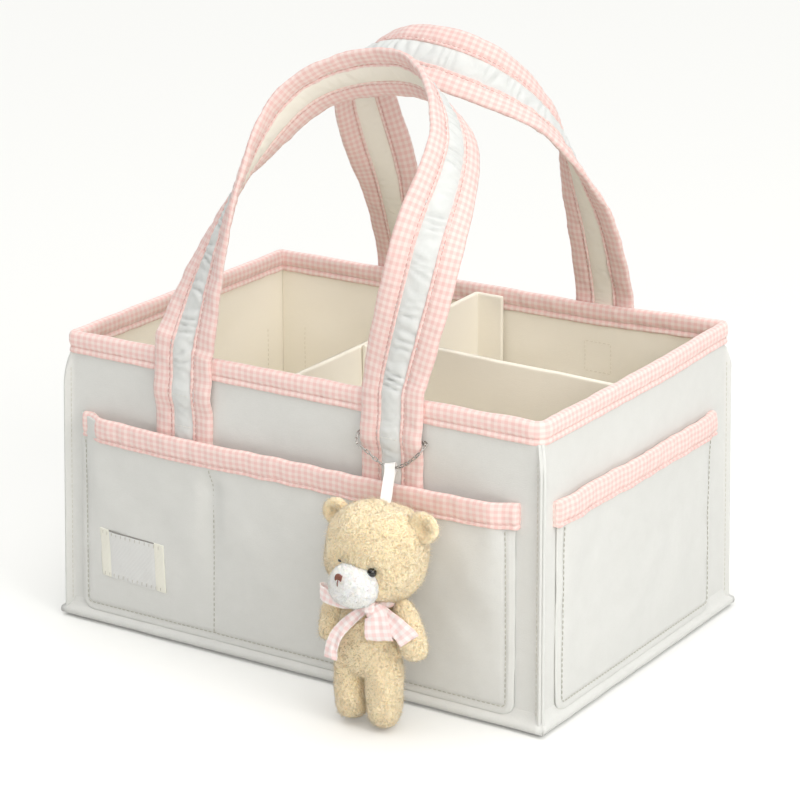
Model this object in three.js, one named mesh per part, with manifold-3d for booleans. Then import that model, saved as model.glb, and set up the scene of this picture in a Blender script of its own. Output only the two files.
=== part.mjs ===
// Felt storage bag: a bound felt tub with four outside pockets, two strap handles, lift-out
// dividers and a small plush bear that hangs on a chain round one strap.
// Millimetres, +Z up. X runs along the long front wall, the front faces -Y, and the origin is
// the middle of the underside.
import * as THREE from 'three';
import Module from 'manifold-3d';
import { mergeVertices } from 'three/addons/utils/BufferGeometryUtils.js';

const wasm = await Module();
wasm.setup();

// Shell
const bagLength = 330;
const bagWidth = 226;
const bagHeight = 180;
const wallLeanIn = 3.3;
const feltThickness = 3;
const layerGap = 0.3;
const seamAllowance = 5;
const seamCornerCut = 3;
const seamTopCurve = 12;
const rimCornerRadius = 8;
const tapeThickness = 0.8;
const tapeEdgeRound = 0.6;
const rimTapeHeight = 13.3;

// Outside pockets
const frontPocketHalf = 149;
const sidePocketHalf = 97.5;
const pocketBottomGap = 0.9;
const pocketTopUnderRim = 35.2;
const pocketTapeHeight = 14;
const pocketFelt = 2.5;
const pocketCornerRadius = 15;
const pocketMouthDepth = 8;
const pocketSideBlend = 16;
const pocketSeamAt = 56;
const pocketSeamReach = 12;
const pocketBowPower = 1.5;

// Label on the front pocket
const labelWidth = 48;
const labelHeight = 30;
const labelThickness = 0.8;
const labelFromSide = 8;
const labelBottom = 30;

// Strap handles
const strapWidth = 39;
const strapThickness = 3.6;
const strapCoreThickness = 2;
const strapTape = 0.5;
const strapTapeReach = 12.8;
const strapSpacing = 145;
const strapShift = 4.5;
const archRise = 157;
const archLean = 92;
const footTuck = 10.5;
const footSewnOut = 0.4;
const footSewnUnderChain = 7;
const hingeGap = 0.5;
const hingeAboveRim = 1.2;
const archSteps = 36;

// Chain and hanging loop
const linkPitch = 3;
const linkWire = 0.6;
const linkWidth = 1.9;
const linkPress = 0.15;
const chainUnderRim = 9.7;
const chainDrop = 14;
const chainSideRoom = 1.7;
const loopWidth = 6;
const loopTape = 0.6;
const loopRoom = 2.7;

// Bear
const bearX = 77.5;
const bearY = -150.5;
const bearUnderChain = 153.5;
const headHeight = 58;
const headWidth = 62;
const headDepth = 52;
const headBottom = 69;
const headRight = 3;
const headBack = 2;
const bodyWidth = 42;
const bodyDepth = 33;
const bodyHeight = 56;
const bodyUnder = 20.5;
const legDiameter = 21.8;
const legLength = 44;
const legSpread = 22.6;
const armDiameter = 17.5;
const armLength = 36;
const armSpread = 41;
const armTopAbove = 77;
const armTilt = 0.3;
const earDiameter = 20.5;
const earDepth = 12;
const earSpread = 55;
const earRise = 18.5;
const muzzleWidth = 31;
const muzzleHeight = 25;
const muzzleDepth = 22;
const muzzleDrop = 11;
const noseWidth = 7;
const noseHeight = 5;
const noseDepth = 4;
const noseRise = 7.5;
const eyeDiameter = 5.6;
const eyeSpread = 21;
const eyeDrop = 0.5;
const neckTapeHeight = 6;
const neckTapeUnderHead = 1.5;
const neckTapeWall = 1.6;
const bowOut = 17.5;
const bowUnderHead = 25;
const bowRound = 0.45;
const bowRightTurn = 0.17;
const bowLeftTurn = 0.14;
const bowKnotWidth = 9;
const bowKnotHeight = 8;
const bowKnotDepth = 7;
const bowLoopLength = 22;
const bowLoopHeight = 15;
const bowLoopDepth = 4;
const bowTailLength = 38;
const bowTailWidth = 9;
const bowTailThickness = 1.2;

// Dividers and their touch-close patches
const dividerFelt = 3;
const dividerUnderEdge = 9;
const crossDividerX = -16;
const longDividerY = -2;
const dividerFlap = 20;
const liftClearance = 0.5;
const hookThickness = 0.7;
const pileThickness = 1.4;
const patchWidth = 14;
const patchHeight = 22;
const patchUnderRim = 9.7;

const overrun = 1;

const halfLength = bagLength / 2;
const halfWidth = bagWidth / 2;
const wallFoot = feltThickness + layerGap;
const flangeTop = wallFoot + feltThickness;
const wallTop = bagHeight - tapeThickness - layerGap;
const rimTapeFoot = bagHeight - rimTapeHeight;
const plainTop = rimTapeFoot - overrun;
const pocketTop = rimTapeFoot - pocketTopUnderRim;
const chainHeight = rimTapeFoot - chainUnderRim;
const footSewnTop = chainHeight - footSewnUnderChain;
const bearLift = chainHeight - bearUnderChain;
const headMiddle = bearLift + headBottom + headHeight / 2;
const bodyMiddle = bearLift + bodyUnder + bodyHeight / 2;
const armTop = bearLift + armTopAbove;
const dividerTop = bagHeight - dividerUnderEdge;
const patchTop = rimTapeFoot - patchUnderRim;
const pocketFoot = flangeTop + pocketBottomGap;
const tapeOut = layerGap + tapeThickness;
const pocketTapeFoot = pocketTop - pocketTapeHeight;

const colours = {
  felt: 0xd8d6cc,
  pocket: 0xd5d4ce,
  gingham: 0xf3cfc9,
  quilt: 0xdde3e1,
  label: 0xf4eddd,
  metal: 0xb9b9bb,
  satin: 0xf7f6f2,
  plush: 0xebd7ae,
  muzzle: 0xf6f3ee,
  nose: 0x9a5b3f,
  eye: 0x14110f,
  bow: 0xf7d5d3,
  touchClose: 0xe9e4d8,
};

const bag = new THREE.Group();

function addPart(name, geometry, colour, roughness = 0.9, metalness = 0) {
  const material = new THREE.MeshStandardMaterial({ color: colour, roughness, metalness });
  const mesh = new THREE.Mesh(geometry, material);
  mesh.name = name;
  bag.add(mesh);
  return mesh;
}

// Solids

function signedVolume(positions, index) {
  let volume = 0;
  const a = new THREE.Vector3();
  const b = new THREE.Vector3();
  const c = new THREE.Vector3();
  for (let i = 0; i < index.length; i += 3) {
    a.fromArray(positions, 3 * index[i]);
    b.fromArray(positions, 3 * index[i + 1]);
    c.fromArray(positions, 3 * index[i + 2]);
    volume += a.dot(b.cross(c));
  }
  return volume;
}

// An indexed solid whose faces all point out.
function solidGeometry(positions, index) {
  const facesIn = signedVolume(positions, index) < 0;
  const turned = [];
  for (let i = 0; i < index.length; i += 3) {
    const [a, b, c] = index.slice(i, i + 3);
    turned.push(a, facesIn ? c : b, facesIn ? b : c);
  }
  const geometry = new THREE.BufferGeometry();
  geometry.setAttribute('position', new THREE.Float32BufferAttribute(positions, 3));
  geometry.setIndex(turned);
  geometry.computeVertexNormals();
  return geometry;
}

// Joins rings of points into one skin. The section gives the ring's flat outline, which closes
// the two ends; where joined is true the last ring meets the first instead. Every quad is split
// along the diagonal that climbs with the section's first coordinate, or with its second where
// the first stays the same, so two layers that lie on each other are creased alike.
function loft(rings, section, joined = false) {
  const count = section.length;
  const positions = rings.flat().flatMap((p) => [p.x, p.y, p.z]);
  const index = [];
  const spans = joined ? rings.length : rings.length - 1;
  for (let i = 0; i < spans; i++) {
    const here = i * count;
    const there = ((i + 1) % rings.length) * count;
    for (let j = 0; j < count; j++) {
      const k = (j + 1) % count;
      const climb = section[k].x - section[j].x || section[k].y - section[j].y;
      if (climb < 0) {
        index.push(here + j, here + k, there + j, here + k, there + k, there + j);
      } else {
        index.push(here + j, here + k, there + k, here + j, there + k, there + j);
      }
    }
  }
  if (!joined) {
    const anticlockwise = THREE.ShapeUtils.area(section) > 0;
    const last = (rings.length - 1) * count;
    for (const [a, b, c] of THREE.ShapeUtils.triangulateShape(section, [])) {
      if (anticlockwise) {
        index.push(a, c, b, last + a, last + b, last + c);
      } else {
        index.push(a, b, c, last + a, last + c, last + b);
      }
    }
  }
  return solidGeometry(positions, index);
}

function toSolid(geometry) {
  const bare = geometry.clone();
  bare.deleteAttribute('normal');
  bare.deleteAttribute('uv');
  const merged = mergeVertices(bare);
  const mesh = new wasm.Mesh({
    numProp: 3,
    vertProperties: merged.attributes.position.array,
    triVerts: new Uint32Array(merged.index.array),
  });
  return new wasm.Manifold(mesh);
}

function fromSolid(solid) {
  const mesh = solid.getMesh();
  return solidGeometry(Array.from(mesh.vertProperties), Array.from(mesh.triVerts));
}

function prism(outline, foot, top) {
  const shape = new THREE.Shape(outline);
  const geometry = new THREE.ExtrudeGeometry(shape, { depth: top - foot, bevelEnabled: false });
  return geometry.translate(0, 0, foot);
}

function box(low, high) {
  const size = new THREE.Vector3().subVectors(high, low);
  const middle = new THREE.Vector3().addVectors(high, low).divideScalar(2);
  return new THREE.BoxGeometry(size.x, size.y, size.z).translate(middle.x, middle.y, middle.z);
}

const at = (x, y, z) => new THREE.Vector3(x, y, z);
const flat = (x, y) => new THREE.Vector2(x, y);
const mix = (from, to, share) => from + (to - from) * share;

// 0 before the start, 1 after the end, an even S between.
function ease(value, start, end) {
  return THREE.MathUtils.smoothstep(value, start, end);
}

// Walls. Each wall has its own coordinates: along it, out from its outer face, and up.

const walls = {
  front: (along, out, up) => at(along, -halfWidth - out, up),
  back: (along, out, up) => at(-along, halfWidth + out, up),
  right: (along, out, up) => at(halfLength + out, along, up),
  left: (along, out, up) => at(-halfLength - out, -along, up),
};

// The walls lean in a little towards the rim.
function leanIn(point) {
  const share = (wallLeanIn * point.z) / bagHeight;
  point.x *= 1 - share / halfLength;
  point.y *= 1 - share / halfWidth;
  return point;
}

const wallAt = (wall, along, out, up) => leanIn(walls[wall](along, out, up));

// Moves a solid drawn in wall coordinates (x along, y out, z up) to its wall.
function hang(geometry, wall) {
  const source = geometry.attributes.position;
  const positions = [];
  for (let i = 0; i < source.count; i++) {
    positions.push(...wallAt(wall, source.getX(i), source.getY(i), source.getZ(i)).toArray());
  }
  return solidGeometry(positions, Array.from(geometry.index.array));
}

const seamShift = (layerGap / 2) * Math.SQRT2;

// One wall is a single sheet of felt: the plate, a lip turned out down each corner seam, and a
// lip turned out along the bottom seam. Under the rim tape the corner is trimmed round.
function wallPanel(half) {
  const inner = half - feltThickness - seamShift;
  const plate = [
    flat(-half + seamShift, 0),
    flat(-inner, -feltThickness),
    flat(inner, -feltThickness),
    flat(half - seamShift, 0),
  ];
  const cut = seamAllowance - seamCornerCut / 2;
  const flange = [
    flat(-inner, -feltThickness),
    flat(inner, -feltThickness),
    flat(half + cut - seamShift, cut),
    flat(half + seamAllowance - seamCornerCut - seamShift, seamAllowance),
    flat(-half - seamAllowance + seamCornerCut + seamShift, seamAllowance),
    flat(-half - cut + seamShift, cut),
  ];
  const centre = half - rimCornerRadius;
  const innerRadius = rimCornerRadius - feltThickness;
  const seamAngle = Math.PI / 4 + layerGap / 2 / innerRadius;
  const band = new THREE.Shape();
  band.absarc(centre, -rimCornerRadius, rimCornerRadius, seamAngle, Math.PI / 2, false);
  band.absarc(-centre, -rimCornerRadius, rimCornerRadius, Math.PI / 2, Math.PI - seamAngle, false);
  band.absarc(-centre, -rimCornerRadius, innerRadius, Math.PI - seamAngle, Math.PI / 2, true);
  band.absarc(centre, -rimCornerRadius, innerRadius, Math.PI / 2, seamAngle, true);
  const arcSteps = 4;
  const bandDepth = wallTop - plainTop + overrun;
  const upper = new THREE.ExtrudeGeometry(band, {
    depth: bandDepth,
    bevelEnabled: false,
    curveSegments: arcSteps,
  }).translate(0, 0, plainTop - overrun);
  let panel = toSolid(prism(plate, wallFoot, plainTop));
  panel = panel.add(toSolid(prism(flange, wallFoot, flangeTop)));
  panel = panel.add(toSolid(upper));
  for (const side of [-1, 1]) {
    panel = panel.add(toSolid(cornerLip(half, side)));
  }
  const whole = fromSolid(panel);
  return mergeVertices(whole);
}

// The lip down a corner seam. It lies along the 45 degree seam plane, and its free edge curves
// in to the wall below the rim tape.
function cornerLip(half, side) {
  const reach = feltThickness * Math.SQRT2 + seamAllowance;
  const root = feltThickness * Math.SQRT2;
  const profile = new THREE.Shape();
  profile.moveTo(0, wallFoot);
  profile.lineTo(reach, wallFoot);
  profile.lineTo(reach, plainTop - seamTopCurve);
  profile.quadraticCurveTo(reach, plainTop - layerGap, root, plainTop - layerGap);
  profile.lineTo(0, plainTop - layerGap);
  const curveSteps = 5;
  const drawn = new THREE.ExtrudeGeometry(profile, {
    depth: feltThickness,
    bevelEnabled: false,
    curveSegments: curveSteps,
  });
  const merged = mergeVertices(stripped(drawn));
  const source = merged.attributes.position;
  const positions = [];
  for (let i = 0; i < source.count; i++) {
    const outward = source.getX(i) * Math.SQRT1_2;
    const across = source.getZ(i) * Math.SQRT1_2;
    const along = half - feltThickness - seamShift + outward - across;
    positions.push(side * along, -feltThickness + outward + across, source.getY(i));
  }
  return solidGeometry(positions, Array.from(merged.index.array));
}

function stripped(geometry) {
  geometry.deleteAttribute('normal');
  geometry.deleteAttribute('uv');
  return geometry;
}

for (const [wall, half] of Object.entries({
  front: halfLength,
  back: halfLength,
  left: halfWidth,
  right: halfWidth,
})) {
  addPart(`${wall}_panel`, hang(wallPanel(half), wall), colours.felt);
}

// The bottom sheet reaches under the turned-out lips and is cut off at the corners like them.
function bottomPanel() {
  const x = halfLength + seamAllowance;
  const y = halfWidth + seamAllowance;
  const outline = [
    flat(-x + seamCornerCut, -y),
    flat(x - seamCornerCut, -y),
    flat(x, -y + seamCornerCut),
    flat(x, y - seamCornerCut),
    flat(x - seamCornerCut, y),
    flat(-x + seamCornerCut, y),
    flat(-x, y - seamCornerCut),
    flat(-x, -y + seamCornerCut),
  ];
  return prism(outline, 0, feltThickness);
}
addPart('bottom_panel', bottomPanel(), colours.felt);

// Tape folded over an edge: an upside-down U. Offsets are measured across the bound sheet.
function tapeSection(outer, inner, foot, top) {
  const wall = tapeThickness;
  const round = tapeEdgeRound;
  return [
    flat(outer, foot),
    flat(outer, top - round),
    flat(outer - round, top),
    flat(inner + round, top),
    flat(inner, top - round),
    flat(inner, foot),
    flat(inner + wall, foot),
    flat(inner + wall, top - wall),
    flat(outer - wall, top - wall),
    flat(outer - wall, foot),
  ];
}

function rimBinding() {
  const section = tapeSection(tapeOut, -feltThickness - tapeOut, rimTapeFoot, bagHeight);
  const rings = [];
  const cornerSteps = 5;
  const cornerX = halfLength - rimCornerRadius;
  const cornerY = halfWidth - rimCornerRadius;
  for (let corner = 0; corner < 4; corner++) {
    for (let step = 0; step <= cornerSteps; step++) {
      const angle = (Math.PI / 2) * (corner + step / cornerSteps);
      const signX = corner === 0 || corner === 3 ? 1 : -1;
      const signY = corner < 2 ? 1 : -1;
      rings.push(section.map((p) => leanIn(at(
        signX * cornerX + Math.cos(angle) * (rimCornerRadius + p.x),
        signY * cornerY + Math.sin(angle) * (rimCornerRadius + p.x),
        p.y,
      ))));
    }
  }
  return loft(rings, section, true);
}
addPart('rim_binding', rimBinding(), colours.gingham);

// Pockets. A pocket is one sheet sewn down at its sides, its bottom and its seams, which bows
// out towards the mouth. This gives how far its back stands off the wall.

function pocketOff(along, up, pocket) {
  const rise = THREE.MathUtils.clamp((up - pocketFoot) / (pocketTop - pocketFoot), 0, 1);
  const bow = pocketMouthDepth * rise ** pocketBowPower;
  const fromSide = pocket.half - Math.abs(along);
  const sides = ease(fromSide, 0, pocketSideBlend);
  let hold = 0;
  for (const seam of pocket.seams) {
    hold = Math.max(hold, 1 - ease(Math.abs(along - seam), 0, pocketSeamReach));
  }
  const nearTape = ease(up, pocketTapeFoot - pocketTapeHeight, pocketTapeFoot);
  const tapeRoom = tapeOut * nearTape;
  return layerGap + tapeRoom + (bow - tapeRoom) * sides * (1 - hold * (1 - nearTape));
}

// The sheet is narrower at the bottom, where its corners are cut round.
function pocketHalfAt(up, pocket) {
  const below = pocketFoot + pocketCornerRadius - up;
  if (below <= 0) {
    return pocket.half;
  }
  const inset = pocketCornerRadius - Math.sqrt(pocketCornerRadius ** 2 - below ** 2);
  return pocket.half - inset;
}

const cornerShares = [0, 0.1, 0.35, 0.65, 1];
const pocketHeights = [
  ...cornerShares.map((share) => pocketFoot + share * pocketCornerRadius),
  labelBottom,
  labelBottom + labelHeight,
  pocketTapeFoot - pocketTapeHeight,
  pocketTapeFoot,
  pocketTop,
];

// The places along a pocket where its surface is drawn, as shares of its half length.
function pocketAlongs(pocket) {
  const stops = new Set(pocket.marks.map((mark) => mark / pocket.half));
  for (let i = 0; i <= pocket.steps; i++) {
    stops.add((2 * i) / pocket.steps - 1);
  }
  for (const side of [-1, 1]) {
    stops.add(side * (1 - pocketSideBlend / 2 / pocket.half));
    stops.add(side * (1 - pocketSideBlend / pocket.half));
  }
  for (const seam of pocket.seams) {
    for (const step of [-1, -0.5, 0, 0.5, 1]) {
      stops.add((seam + step * pocketSeamReach) / pocket.half);
    }
  }
  const sorted = [...stops].sort((a, b) => a - b);
  const closest = layerGap / pocket.half;
  return sorted.filter((stop, i) => i === 0 || stop - sorted[i - 1] > closest);
}

function pocketSheet(pocket, wall) {
  const section = [
    ...pocketHeights.map((up) => flat(pocketFelt, up)),
    ...pocketHeights.toReversed().map((up) => flat(0, up)),
  ];
  const rings = pocketAlongs(pocket).map((share) => section.map((p) => {
    const along = share * pocketHalfAt(p.y, pocket);
    return wallAt(wall, along, pocketOff(along, p.y, pocket) + p.x, p.y);
  }));
  return loft(rings, section);
}

function pocketBinding(pocket, wall) {
  const top = pocketTop + tapeOut;
  const section = tapeSection(pocketFelt + tapeOut, -tapeOut, pocketTapeFoot, top);
  const rings = pocketAlongs(pocket).map((share) => section.map((p) => {
    const along = share * pocket.half;
    return wallAt(wall, along, pocketOff(along, p.y, pocket) + p.x, p.y);
  }));
  return loft(rings, section);
}

const labelStart = -frontPocketHalf + labelFromSide;
const labelEnd = labelStart + labelWidth;
const longPocket = {
  half: frontPocketHalf,
  seams: [-pocketSeamAt, pocketSeamAt],
  marks: [],
  steps: 6,
};
const labelledPocket = { ...longPocket, marks: [labelStart, labelEnd] };
const shortPocket = { half: sidePocketHalf, seams: [], marks: [], steps: 4 };
for (const [wall, pocket] of Object.entries({
  front: labelledPocket,
  back: longPocket,
  left: shortPocket,
  right: shortPocket,
})) {
  addPart(`${wall}_pocket`, pocketSheet(pocket, wall), colours.pocket);
  addPart(`${wall}_pocket_binding`, pocketBinding(pocket, wall), colours.gingham);
}

// The label lies on the pocket, so it is drawn at the same places as the pocket's surface.
function label() {
  const near = pocketFelt + layerGap;
  const top = labelBottom + labelHeight;
  const section = [
    flat(near, labelBottom),
    flat(near + labelThickness, labelBottom),
    flat(near + labelThickness, top),
    flat(near, top),
  ];
  const alongs = pocketAlongs(labelledPocket).map((share) => share * frontPocketHalf)
    .filter((along) => along > labelStart - layerGap && along < labelEnd + layerGap);
  const rings = alongs.map((along) => section.map((p) => (
    wallAt('front', along, pocketOff(along, p.y, labelledPocket) + p.x, p.y))));
  return loft(rings, section);
}
addPart('label', label(), colours.label);

// Handles. A strap is a quilted core with a tape folded round each long edge. Sections are drawn
// across the strap (x) and through it (y, towards the quilted side).

const coreHalf = strapWidth / 2 - strapTape - layerGap;

function coreSection() {
  const tapeEdge = strapWidth / 2 - strapTapeReach;
  const half = strapCoreThickness / 2;
  const shares = [-coreHalf, -tapeEdge, tapeEdge, coreHalf];
  return [
    ...shares.map((across) => flat(across, -half)),
    ...shares.toReversed().map((across) => flat(across, half)),
  ];
}

function edgeTapeSection(side) {
  const outer = strapWidth / 2;
  const end = outer - strapTapeReach;
  const half = strapThickness / 2;
  const hollow = half - strapTape;
  return [
    flat(side * end, -half),
    flat(side * outer, -half),
    flat(side * outer, half),
    flat(side * end, half),
    flat(side * end, hollow),
    flat(side * (outer - strapTape), hollow),
    flat(side * (outer - strapTape), -hollow),
    flat(side * end, -hollow),
  ];
}

const strapPieces = {
  strap: { section: coreSection(), colour: colours.quilt },
  edge_tape_a: { section: edgeTapeSection(-1), colour: colours.gingham },
  edge_tape_b: { section: edgeTapeSection(1), colour: colours.gingham },
};

const hingeHeight = bagHeight + hingeAboveRim;
const footTopOut = tapeOut + layerGap;
const chainRoom = linkWidth + 4 * layerGap;

// How far the back of a sewn-down strap end stands off the wall: it is sewn flat, lifts for the
// chain, and passes over the rim tape.
function footOff(up) {
  const lift = ease(up, footSewnTop - linkPitch, chainHeight - linkWidth);
  const settle = ease(up, chainHeight + linkWidth, rimTapeFoot);
  return mix(mix(footSewnOut, chainRoom, lift), footTopOut, settle);
}

function strapFoot(section, wall, middle) {
  const stops = [
    pocketTop - footTuck,
    mix(pocketTop, footSewnTop, 1 / 2),
    footSewnTop - linkPitch,
    chainHeight - linkWidth,
    chainHeight + linkWidth,
    rimTapeFoot,
    bagHeight,
    hingeHeight - hingeGap / 2,
  ];
  const rings = stops.map((up) => section.map((p) => {
    const through = footOff(up) + strapThickness / 2 + p.y;
    return wallAt(wall, middle + p.x, through, up);
  }));
  return loft(rings, section);
}

// The free stretch of each handle: places along the strap as shares of half the spacing, the
// rise and the inward lean, with the strap's turn about its own line in half turns.
const archShares = {
  front: [
    { along: -1, rise: 0, lean: 0, turn: 0 },
    { along: -0.98, rise: 0.06, lean: 0.02, turn: 0.01 },
    { along: -0.69, rise: 0.64, lean: 0.4, turn: 0.34 },
    { along: -0.33, rise: 0.92, lean: 0.71, turn: 0.66 },
    { along: 0.5, rise: 1.02, lean: 0.82, turn: 0.78 },
    { along: 1.11, rise: 0.89, lean: 0.55, turn: 0.54 },
    { along: 1.25, rise: 0.53, lean: 0.06, turn: 0.19 },
    { along: 1.01, rise: 0.06, lean: 0.02, turn: 0.01 },
    { along: 1, rise: 0, lean: 0, turn: 0 },
  ],
  back: [
    { along: -1, rise: 0, lean: 0, turn: 0 },
    { along: -1, rise: 0.06, lean: 0.02, turn: 0.01 },
    { along: -0.98, rise: 0.43, lean: 0.26, turn: 0.11 },
    { along: -0.83, rise: 0.8, lean: 0.6, turn: 0.47 },
    { along: -0.25, rise: 1, lean: 0.95, turn: 0.76 },
    { along: 0.66, rise: 0.98, lean: 0.91, turn: 0.53 },
    { along: 0.87, rise: 0.39, lean: 0.35, turn: 0.09 },
    { along: 0.99, rise: 0.06, lean: 0.02, turn: 0.01 },
    { along: 1, rise: 0, lean: 0, turn: 0 },
  ],
};

const footLine = (wall) => wallAt(wall, 0, footTopOut + strapThickness / 2, hingeHeight);

function archStations(wall) {
  const turnedRound = wall === 'back' ? -1 : 1;
  const stations = archShares[wall];
  const root = footLine('front').y;
  const points = stations.map((s) => at(
    (s.along * strapSpacing) / 2 - strapShift,
    root + s.lean * archLean,
    hingeHeight + hingeGap / 2 + s.rise * archRise,
  ));
  const line = new THREE.CatmullRomCurve3(points, false, 'centripetal');
  const turns = new THREE.CatmullRomCurve3(
    stations.map((s) => at(s.turn, 0, 0)), false, 'catmullrom');
  const frames = [];
  for (let i = 0; i <= archSteps; i++) {
    const share = i / archSteps;
    const t = line.getUtoTmapping(share);
    const tangent = line.getTangent(t);
    if (i === 0 || i === archSteps) {
      tangent.set(0, 0, i === 0 ? 1 : -1);
    }
    const facing = at(0, -1, 0).addScaledVector(tangent, tangent.y).normalize();
    facing.applyAxisAngle(tangent, -Math.PI * turns.getPoint(t).x);
    const across = new THREE.Vector3().crossVectors(tangent, facing);
    const place = line.getPoint(t);
    for (const vector of [place, facing, across]) {
      vector.x *= turnedRound;
      vector.y *= turnedRound;
    }
    frames.push({ place, facing, across });
  }
  return frames;
}

function strapArch(section, frames) {
  const rings = frames.map((frame) => section.map((p) => frame.place.clone()
    .addScaledVector(frame.across, p.x)
    .addScaledVector(frame.facing, p.y)));
  return loft(rings, section);
}

for (const wall of ['front', 'back']) {
  const frames = archStations(wall);
  for (const [piece, { section, colour }] of Object.entries(strapPieces)) {
    for (const [foot, side] of [['left', -1], ['right', 1]]) {
      const middle = (side * strapSpacing) / 2 - strapShift;
      const tail = piece === 'strap' ? '' : `_${piece}`;
      addPart(`${wall}_handle_${foot}_foot${tail}`, strapFoot(section, wall, middle), colour);
    }
    addPart(`${wall}_handle_${piece}`, strapArch(section, frames), colour);
  }
}

// Chain: links turned a quarter turn to each other, in a loop that goes behind the strap's right
// foot and sags in front of it. Each link is pulled a little into the next.

const footMiddle = strapSpacing / 2 - strapShift;
const chainBackOut = chainRoom / 2;
const chainFrontOut = chainRoom + strapThickness + layerGap + linkWidth / 2;

function chainLine() {
  const reach = strapWidth / 2 + chainSideRoom;
  const shares = [
    { along: -1, out: 0, drop: 0 },
    { along: -1 / 2, out: 0, drop: 0 },
    { along: 1 / 2, out: 0, drop: 0 },
    { along: 1, out: 0, drop: 0 },
    { along: 1.06, out: 0.5, drop: 0.1 },
    { along: 0.93, out: 1, drop: 0.36 },
    { along: 0.55, out: 1, drop: 0.8 },
    { along: 0.2, out: 1, drop: 1 },
    { along: -0.2, out: 1, drop: 0.93 },
    { along: -0.6, out: 1, drop: 0.62 },
    { along: -0.96, out: 1, drop: 0.3 },
    { along: -1.07, out: 0.5, drop: 0.08 },
  ];
  const points = shares.map((s) => wallAt(
    'front',
    footMiddle + s.along * reach,
    mix(chainBackOut, chainFrontOut, s.out),
    chainHeight - s.drop * chainDrop,
  ));
  return new THREE.CatmullRomCurve3(points, true, 'centripetal');
}

function chainLink(place, tangent, side) {
  const normal = new THREE.Vector3().crossVectors(tangent, side);
  const long = linkPitch / 2 + linkWire / 2;
  const wide = linkWidth / 2 - linkWire / 2;
  const wireSides = 4;
  const steps = 6;
  const section = [];
  for (let j = 0; j < wireSides; j++) {
    const angle = (2 * Math.PI * j) / wireSides;
    section.push(flat((Math.cos(angle) * linkWire) / 2, (Math.sin(angle) * linkWire) / 2));
  }
  const straight = long - wide;
  const rings = [];
  for (let i = 0; i < steps; i++) {
    const angle = (2 * Math.PI * i) / steps;
    const outward = tangent.clone().multiplyScalar(Math.cos(angle))
      .addScaledVector(side, Math.sin(angle));
    const end = Math.sign(Math.cos(angle)) * straight;
    const middle = place.clone().addScaledVector(tangent, end).addScaledVector(outward, wide);
    rings.push(section.map((p) => middle.clone()
      .addScaledVector(outward, p.x)
      .addScaledVector(normal, p.y)));
  }
  return loft(rings, section, true);
}

function chain() {
  const line = chainLine();
  const length = line.getLength();
  const count = 2 * Math.floor(length / (linkPitch + linkPress) / 2);
  let solid = null;
  for (let i = 0; i < count; i++) {
    const t = line.getUtoTmapping(i / count);
    const tangent = line.getTangent(t);
    const upright = at(0, 0, 1).addScaledVector(tangent, -tangent.z).normalize();
    upright.applyAxisAngle(tangent, Math.PI / 4 + (i % 2) * (Math.PI / 2));
    const link = toSolid(chainLink(line.getPoint(t), tangent, upright));
    solid = solid ? solid.add(link) : link;
  }
  return fromSolid(solid);
}
addPart('charm_chain', chain(), colours.metal, 0.3, 1);

// Dividers. They lift straight out, so they fit between the rim tapes, where the walls are
// closest. Each free end has a flap that a touch-close patch holds to the wall.

const endInset = wallLeanIn + feltThickness + tapeOut + liftClearance + hookThickness + layerGap;
const crossEnd = halfWidth - endInset;
const longEnd = halfLength - endInset;
const crossRight = crossDividerX + dividerFelt / 2;
const longBack = longDividerY + dividerFelt / 2;

function crossDivider() {
  const left = crossDividerX - dividerFelt / 2;
  const flapEnd = crossRight + dividerFlap;
  const outline = [
    flat(left, -crossEnd),
    flat(flapEnd, -crossEnd),
    flat(flapEnd, -crossEnd + dividerFelt),
    flat(crossRight, -crossEnd + dividerFelt),
    flat(crossRight, crossEnd - dividerFelt),
    flat(flapEnd, crossEnd - dividerFelt),
    flat(flapEnd, crossEnd),
    flat(left, crossEnd),
  ];
  return prism(outline, wallFoot, dividerTop);
}

function longDivider() {
  const front = longDividerY - dividerFelt / 2;
  const start = crossRight + layerGap;
  const outline = [
    flat(start, front - dividerFlap),
    flat(start + dividerFelt, front - dividerFlap),
    flat(start + dividerFelt, front),
    flat(longEnd, front),
    flat(longEnd, longBack + dividerFlap),
    flat(longEnd - dividerFelt, longBack + dividerFlap),
    flat(longEnd - dividerFelt, longBack),
    flat(start, longBack),
  ];
  return prism(outline, wallFoot, dividerTop);
}
addPart('cross_divider', crossDivider(), colours.felt);
addPart('long_divider', longDivider(), colours.felt);

const patchFoot = patchTop - patchHeight;

function pilePatch(wall, middle) {
  const far = -feltThickness - layerGap;
  const low = at(middle - patchWidth / 2, far - pileThickness, patchFoot);
  const high = at(middle + patchWidth / 2, far, patchTop);
  return hang(mergeVertices(stripped(box(low, high))), wall);
}

// A hook patch on the flap that faces the given wall, drawn upright because it moves straight up.
function hookPatch(wall, middle, end) {
  const edge = wall === 'right' ? halfLength : halfWidth;
  const near = end + layerGap - edge;
  const low = at(middle - patchWidth / 2, near, patchFoot);
  const high = at(middle + patchWidth / 2, near + hookThickness, patchTop);
  const drawn = mergeVertices(stripped(box(low, high)));
  const positions = [];
  const source = drawn.attributes.position;
  for (let i = 0; i < source.count; i++) {
    const place = walls[wall](source.getX(i), source.getY(i), source.getZ(i));
    positions.push(...place.toArray());
  }
  return solidGeometry(positions, Array.from(drawn.index.array));
}

const flapMiddle = crossRight + dividerFlap / 2;
for (const { wall, middle, end } of [
  { wall: 'front', middle: flapMiddle, end: crossEnd },
  { wall: 'back', middle: -flapMiddle, end: crossEnd },
  { wall: 'right', middle: longBack + dividerFlap / 2, end: longEnd },
]) {
  addPart(`pile_patch_${wall}`, pilePatch(wall, middle), colours.touchClose);
  addPart(`hook_patch_${wall}`, hookPatch(wall, middle, end), colours.touchClose);
}

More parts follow.
